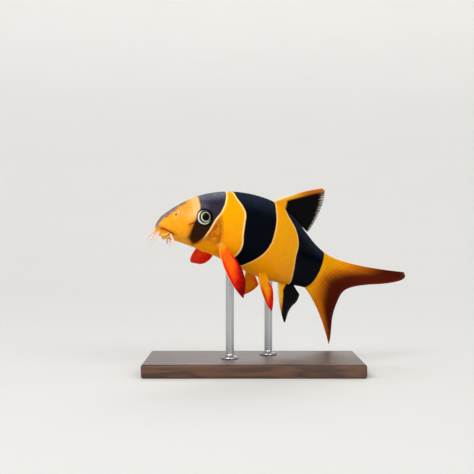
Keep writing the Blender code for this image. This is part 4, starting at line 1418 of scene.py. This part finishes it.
class LOACH_OT_fins(bpy.types.Operator):
    """Make the seven fins with their rays"""

    bl_idname = "loach.fins"
    bl_label = "Fins"

    def execute(self, context):
        scene = context.scene
        build_fins(scene.loach_colours, scene.loach_sizes)
        return {"FINISHED"}


class LOACH_OT_barbels(bpy.types.Operator):
    """Make the four pairs of barbels"""

    bl_idname = "loach.barbels"
    bl_label = "Barbels"

    def execute(self, context):
        material = barbel_material(context.scene.loach_colours)
        for kind, size in BARBELS.items():
            for side, word in SIDES:
                build_barbel(kind, size, side, word, material)
        return {"FINISHED"}


class LOACH_OT_eyes(bpy.types.Operator):
    """Make the two eyes"""

    bl_idname = "loach.eyes"
    bl_label = "Eyes"

    def execute(self, context):
        scene = context.scene
        material = eye_material(scene.loach_colours, scene.loach_sizes)
        for side, word in SIDES:
            build_eye(side, word, material)
        return {"FINISHED"}


class LOACH_OT_stand(bpy.types.Operator):
    """Make the wooden base and the two rods"""

    bl_idname = "loach.stand"
    bl_label = "Stand"

    def execute(self, context):
        colours = context.scene.loach_colours
        build_base(wood_material(colours))
        steel = steel_material(colours)
        for word, station in ROD_STATIONS.items():
            build_rod(word, station, steel)
        return {"FINISHED"}


class LOACH_OT_stage(bpy.types.Operator):
    """Make the floor, the lights and the camera"""

    bl_idname = "loach.stage"
    bl_label = "Stage"

    def execute(self, context):
        scene = context.scene
        build_floor(floor_material(scene.loach_colours))
        for name, (place, power, colour) in SUNS.items():
            add_light(name, "SUN", place, (0, 0, 0), power, colour, angle=SUN_SPREAD)
        add_light("softbox", "AREA", SOFTBOX_PLACE, SOFTBOX_TARGET, SOFTBOX_POWER, WHITE, size=SOFTBOX_SIZE)
        world = bpy.data.worlds.new("studio")
        world.use_nodes = True
        sky = world.node_tree.nodes["Background"].inputs
        sky["Color"].default_value = SKY
        sky["Strength"].default_value = SKY_STRENGTH
        scene.world = world
        scene.view_settings.view_transform = "Standard"
        add_camera()
        return {"FINISHED"}


class LOACH_PT_panel(bpy.types.Panel):
    """Buttons for the pieces, and the sizes and colours they use"""

    bl_idname = "LOACH_PT_panel"
    bl_label = "Clown loach"
    bl_space_type = "VIEW_3D"
    bl_region_type = "UI"
    bl_category = "Loach"

    def draw(self, context):
        layout = self.layout
        for operator in OPERATORS:
            layout.operator(operator.bl_idname)
        for group in (context.scene.loach_sizes, context.scene.loach_colours):
            for name in group.__annotations__:
                layout.prop(group, name)


OPERATORS = (LOACH_OT_skin, LOACH_OT_fins, LOACH_OT_barbels, LOACH_OT_eyes, LOACH_OT_stand, LOACH_OT_stage)
CLASSES = (LoachColours, LoachSizes, *OPERATORS, LOACH_PT_panel)


def register():
    """Registers the classes and the scene's two property groups."""
    for cls in CLASSES:
        bpy.utils.register_class(cls)
    bpy.types.Scene.loach_colours = bpy.props.PointerProperty(type=LoachColours)
    bpy.types.Scene.loach_sizes = bpy.props.PointerProperty(type=LoachSizes)


def unregister():
    """Takes out what register put in."""
    del bpy.types.Scene.loach_sizes
    del bpy.types.Scene.loach_colours
    for cls in reversed(CLASSES):
        bpy.utils.unregister_class(cls)


def main():
    """Makes the stage and every piece."""
    register()
    bpy.ops.loach.stage()
    bpy.ops.loach.skin()
    bpy.ops.loach.fins()
    bpy.ops.loach.barbels()
    bpy.ops.loach.eyes()
    bpy.ops.loach.stand()


if __name__ == "__main__":
    main()
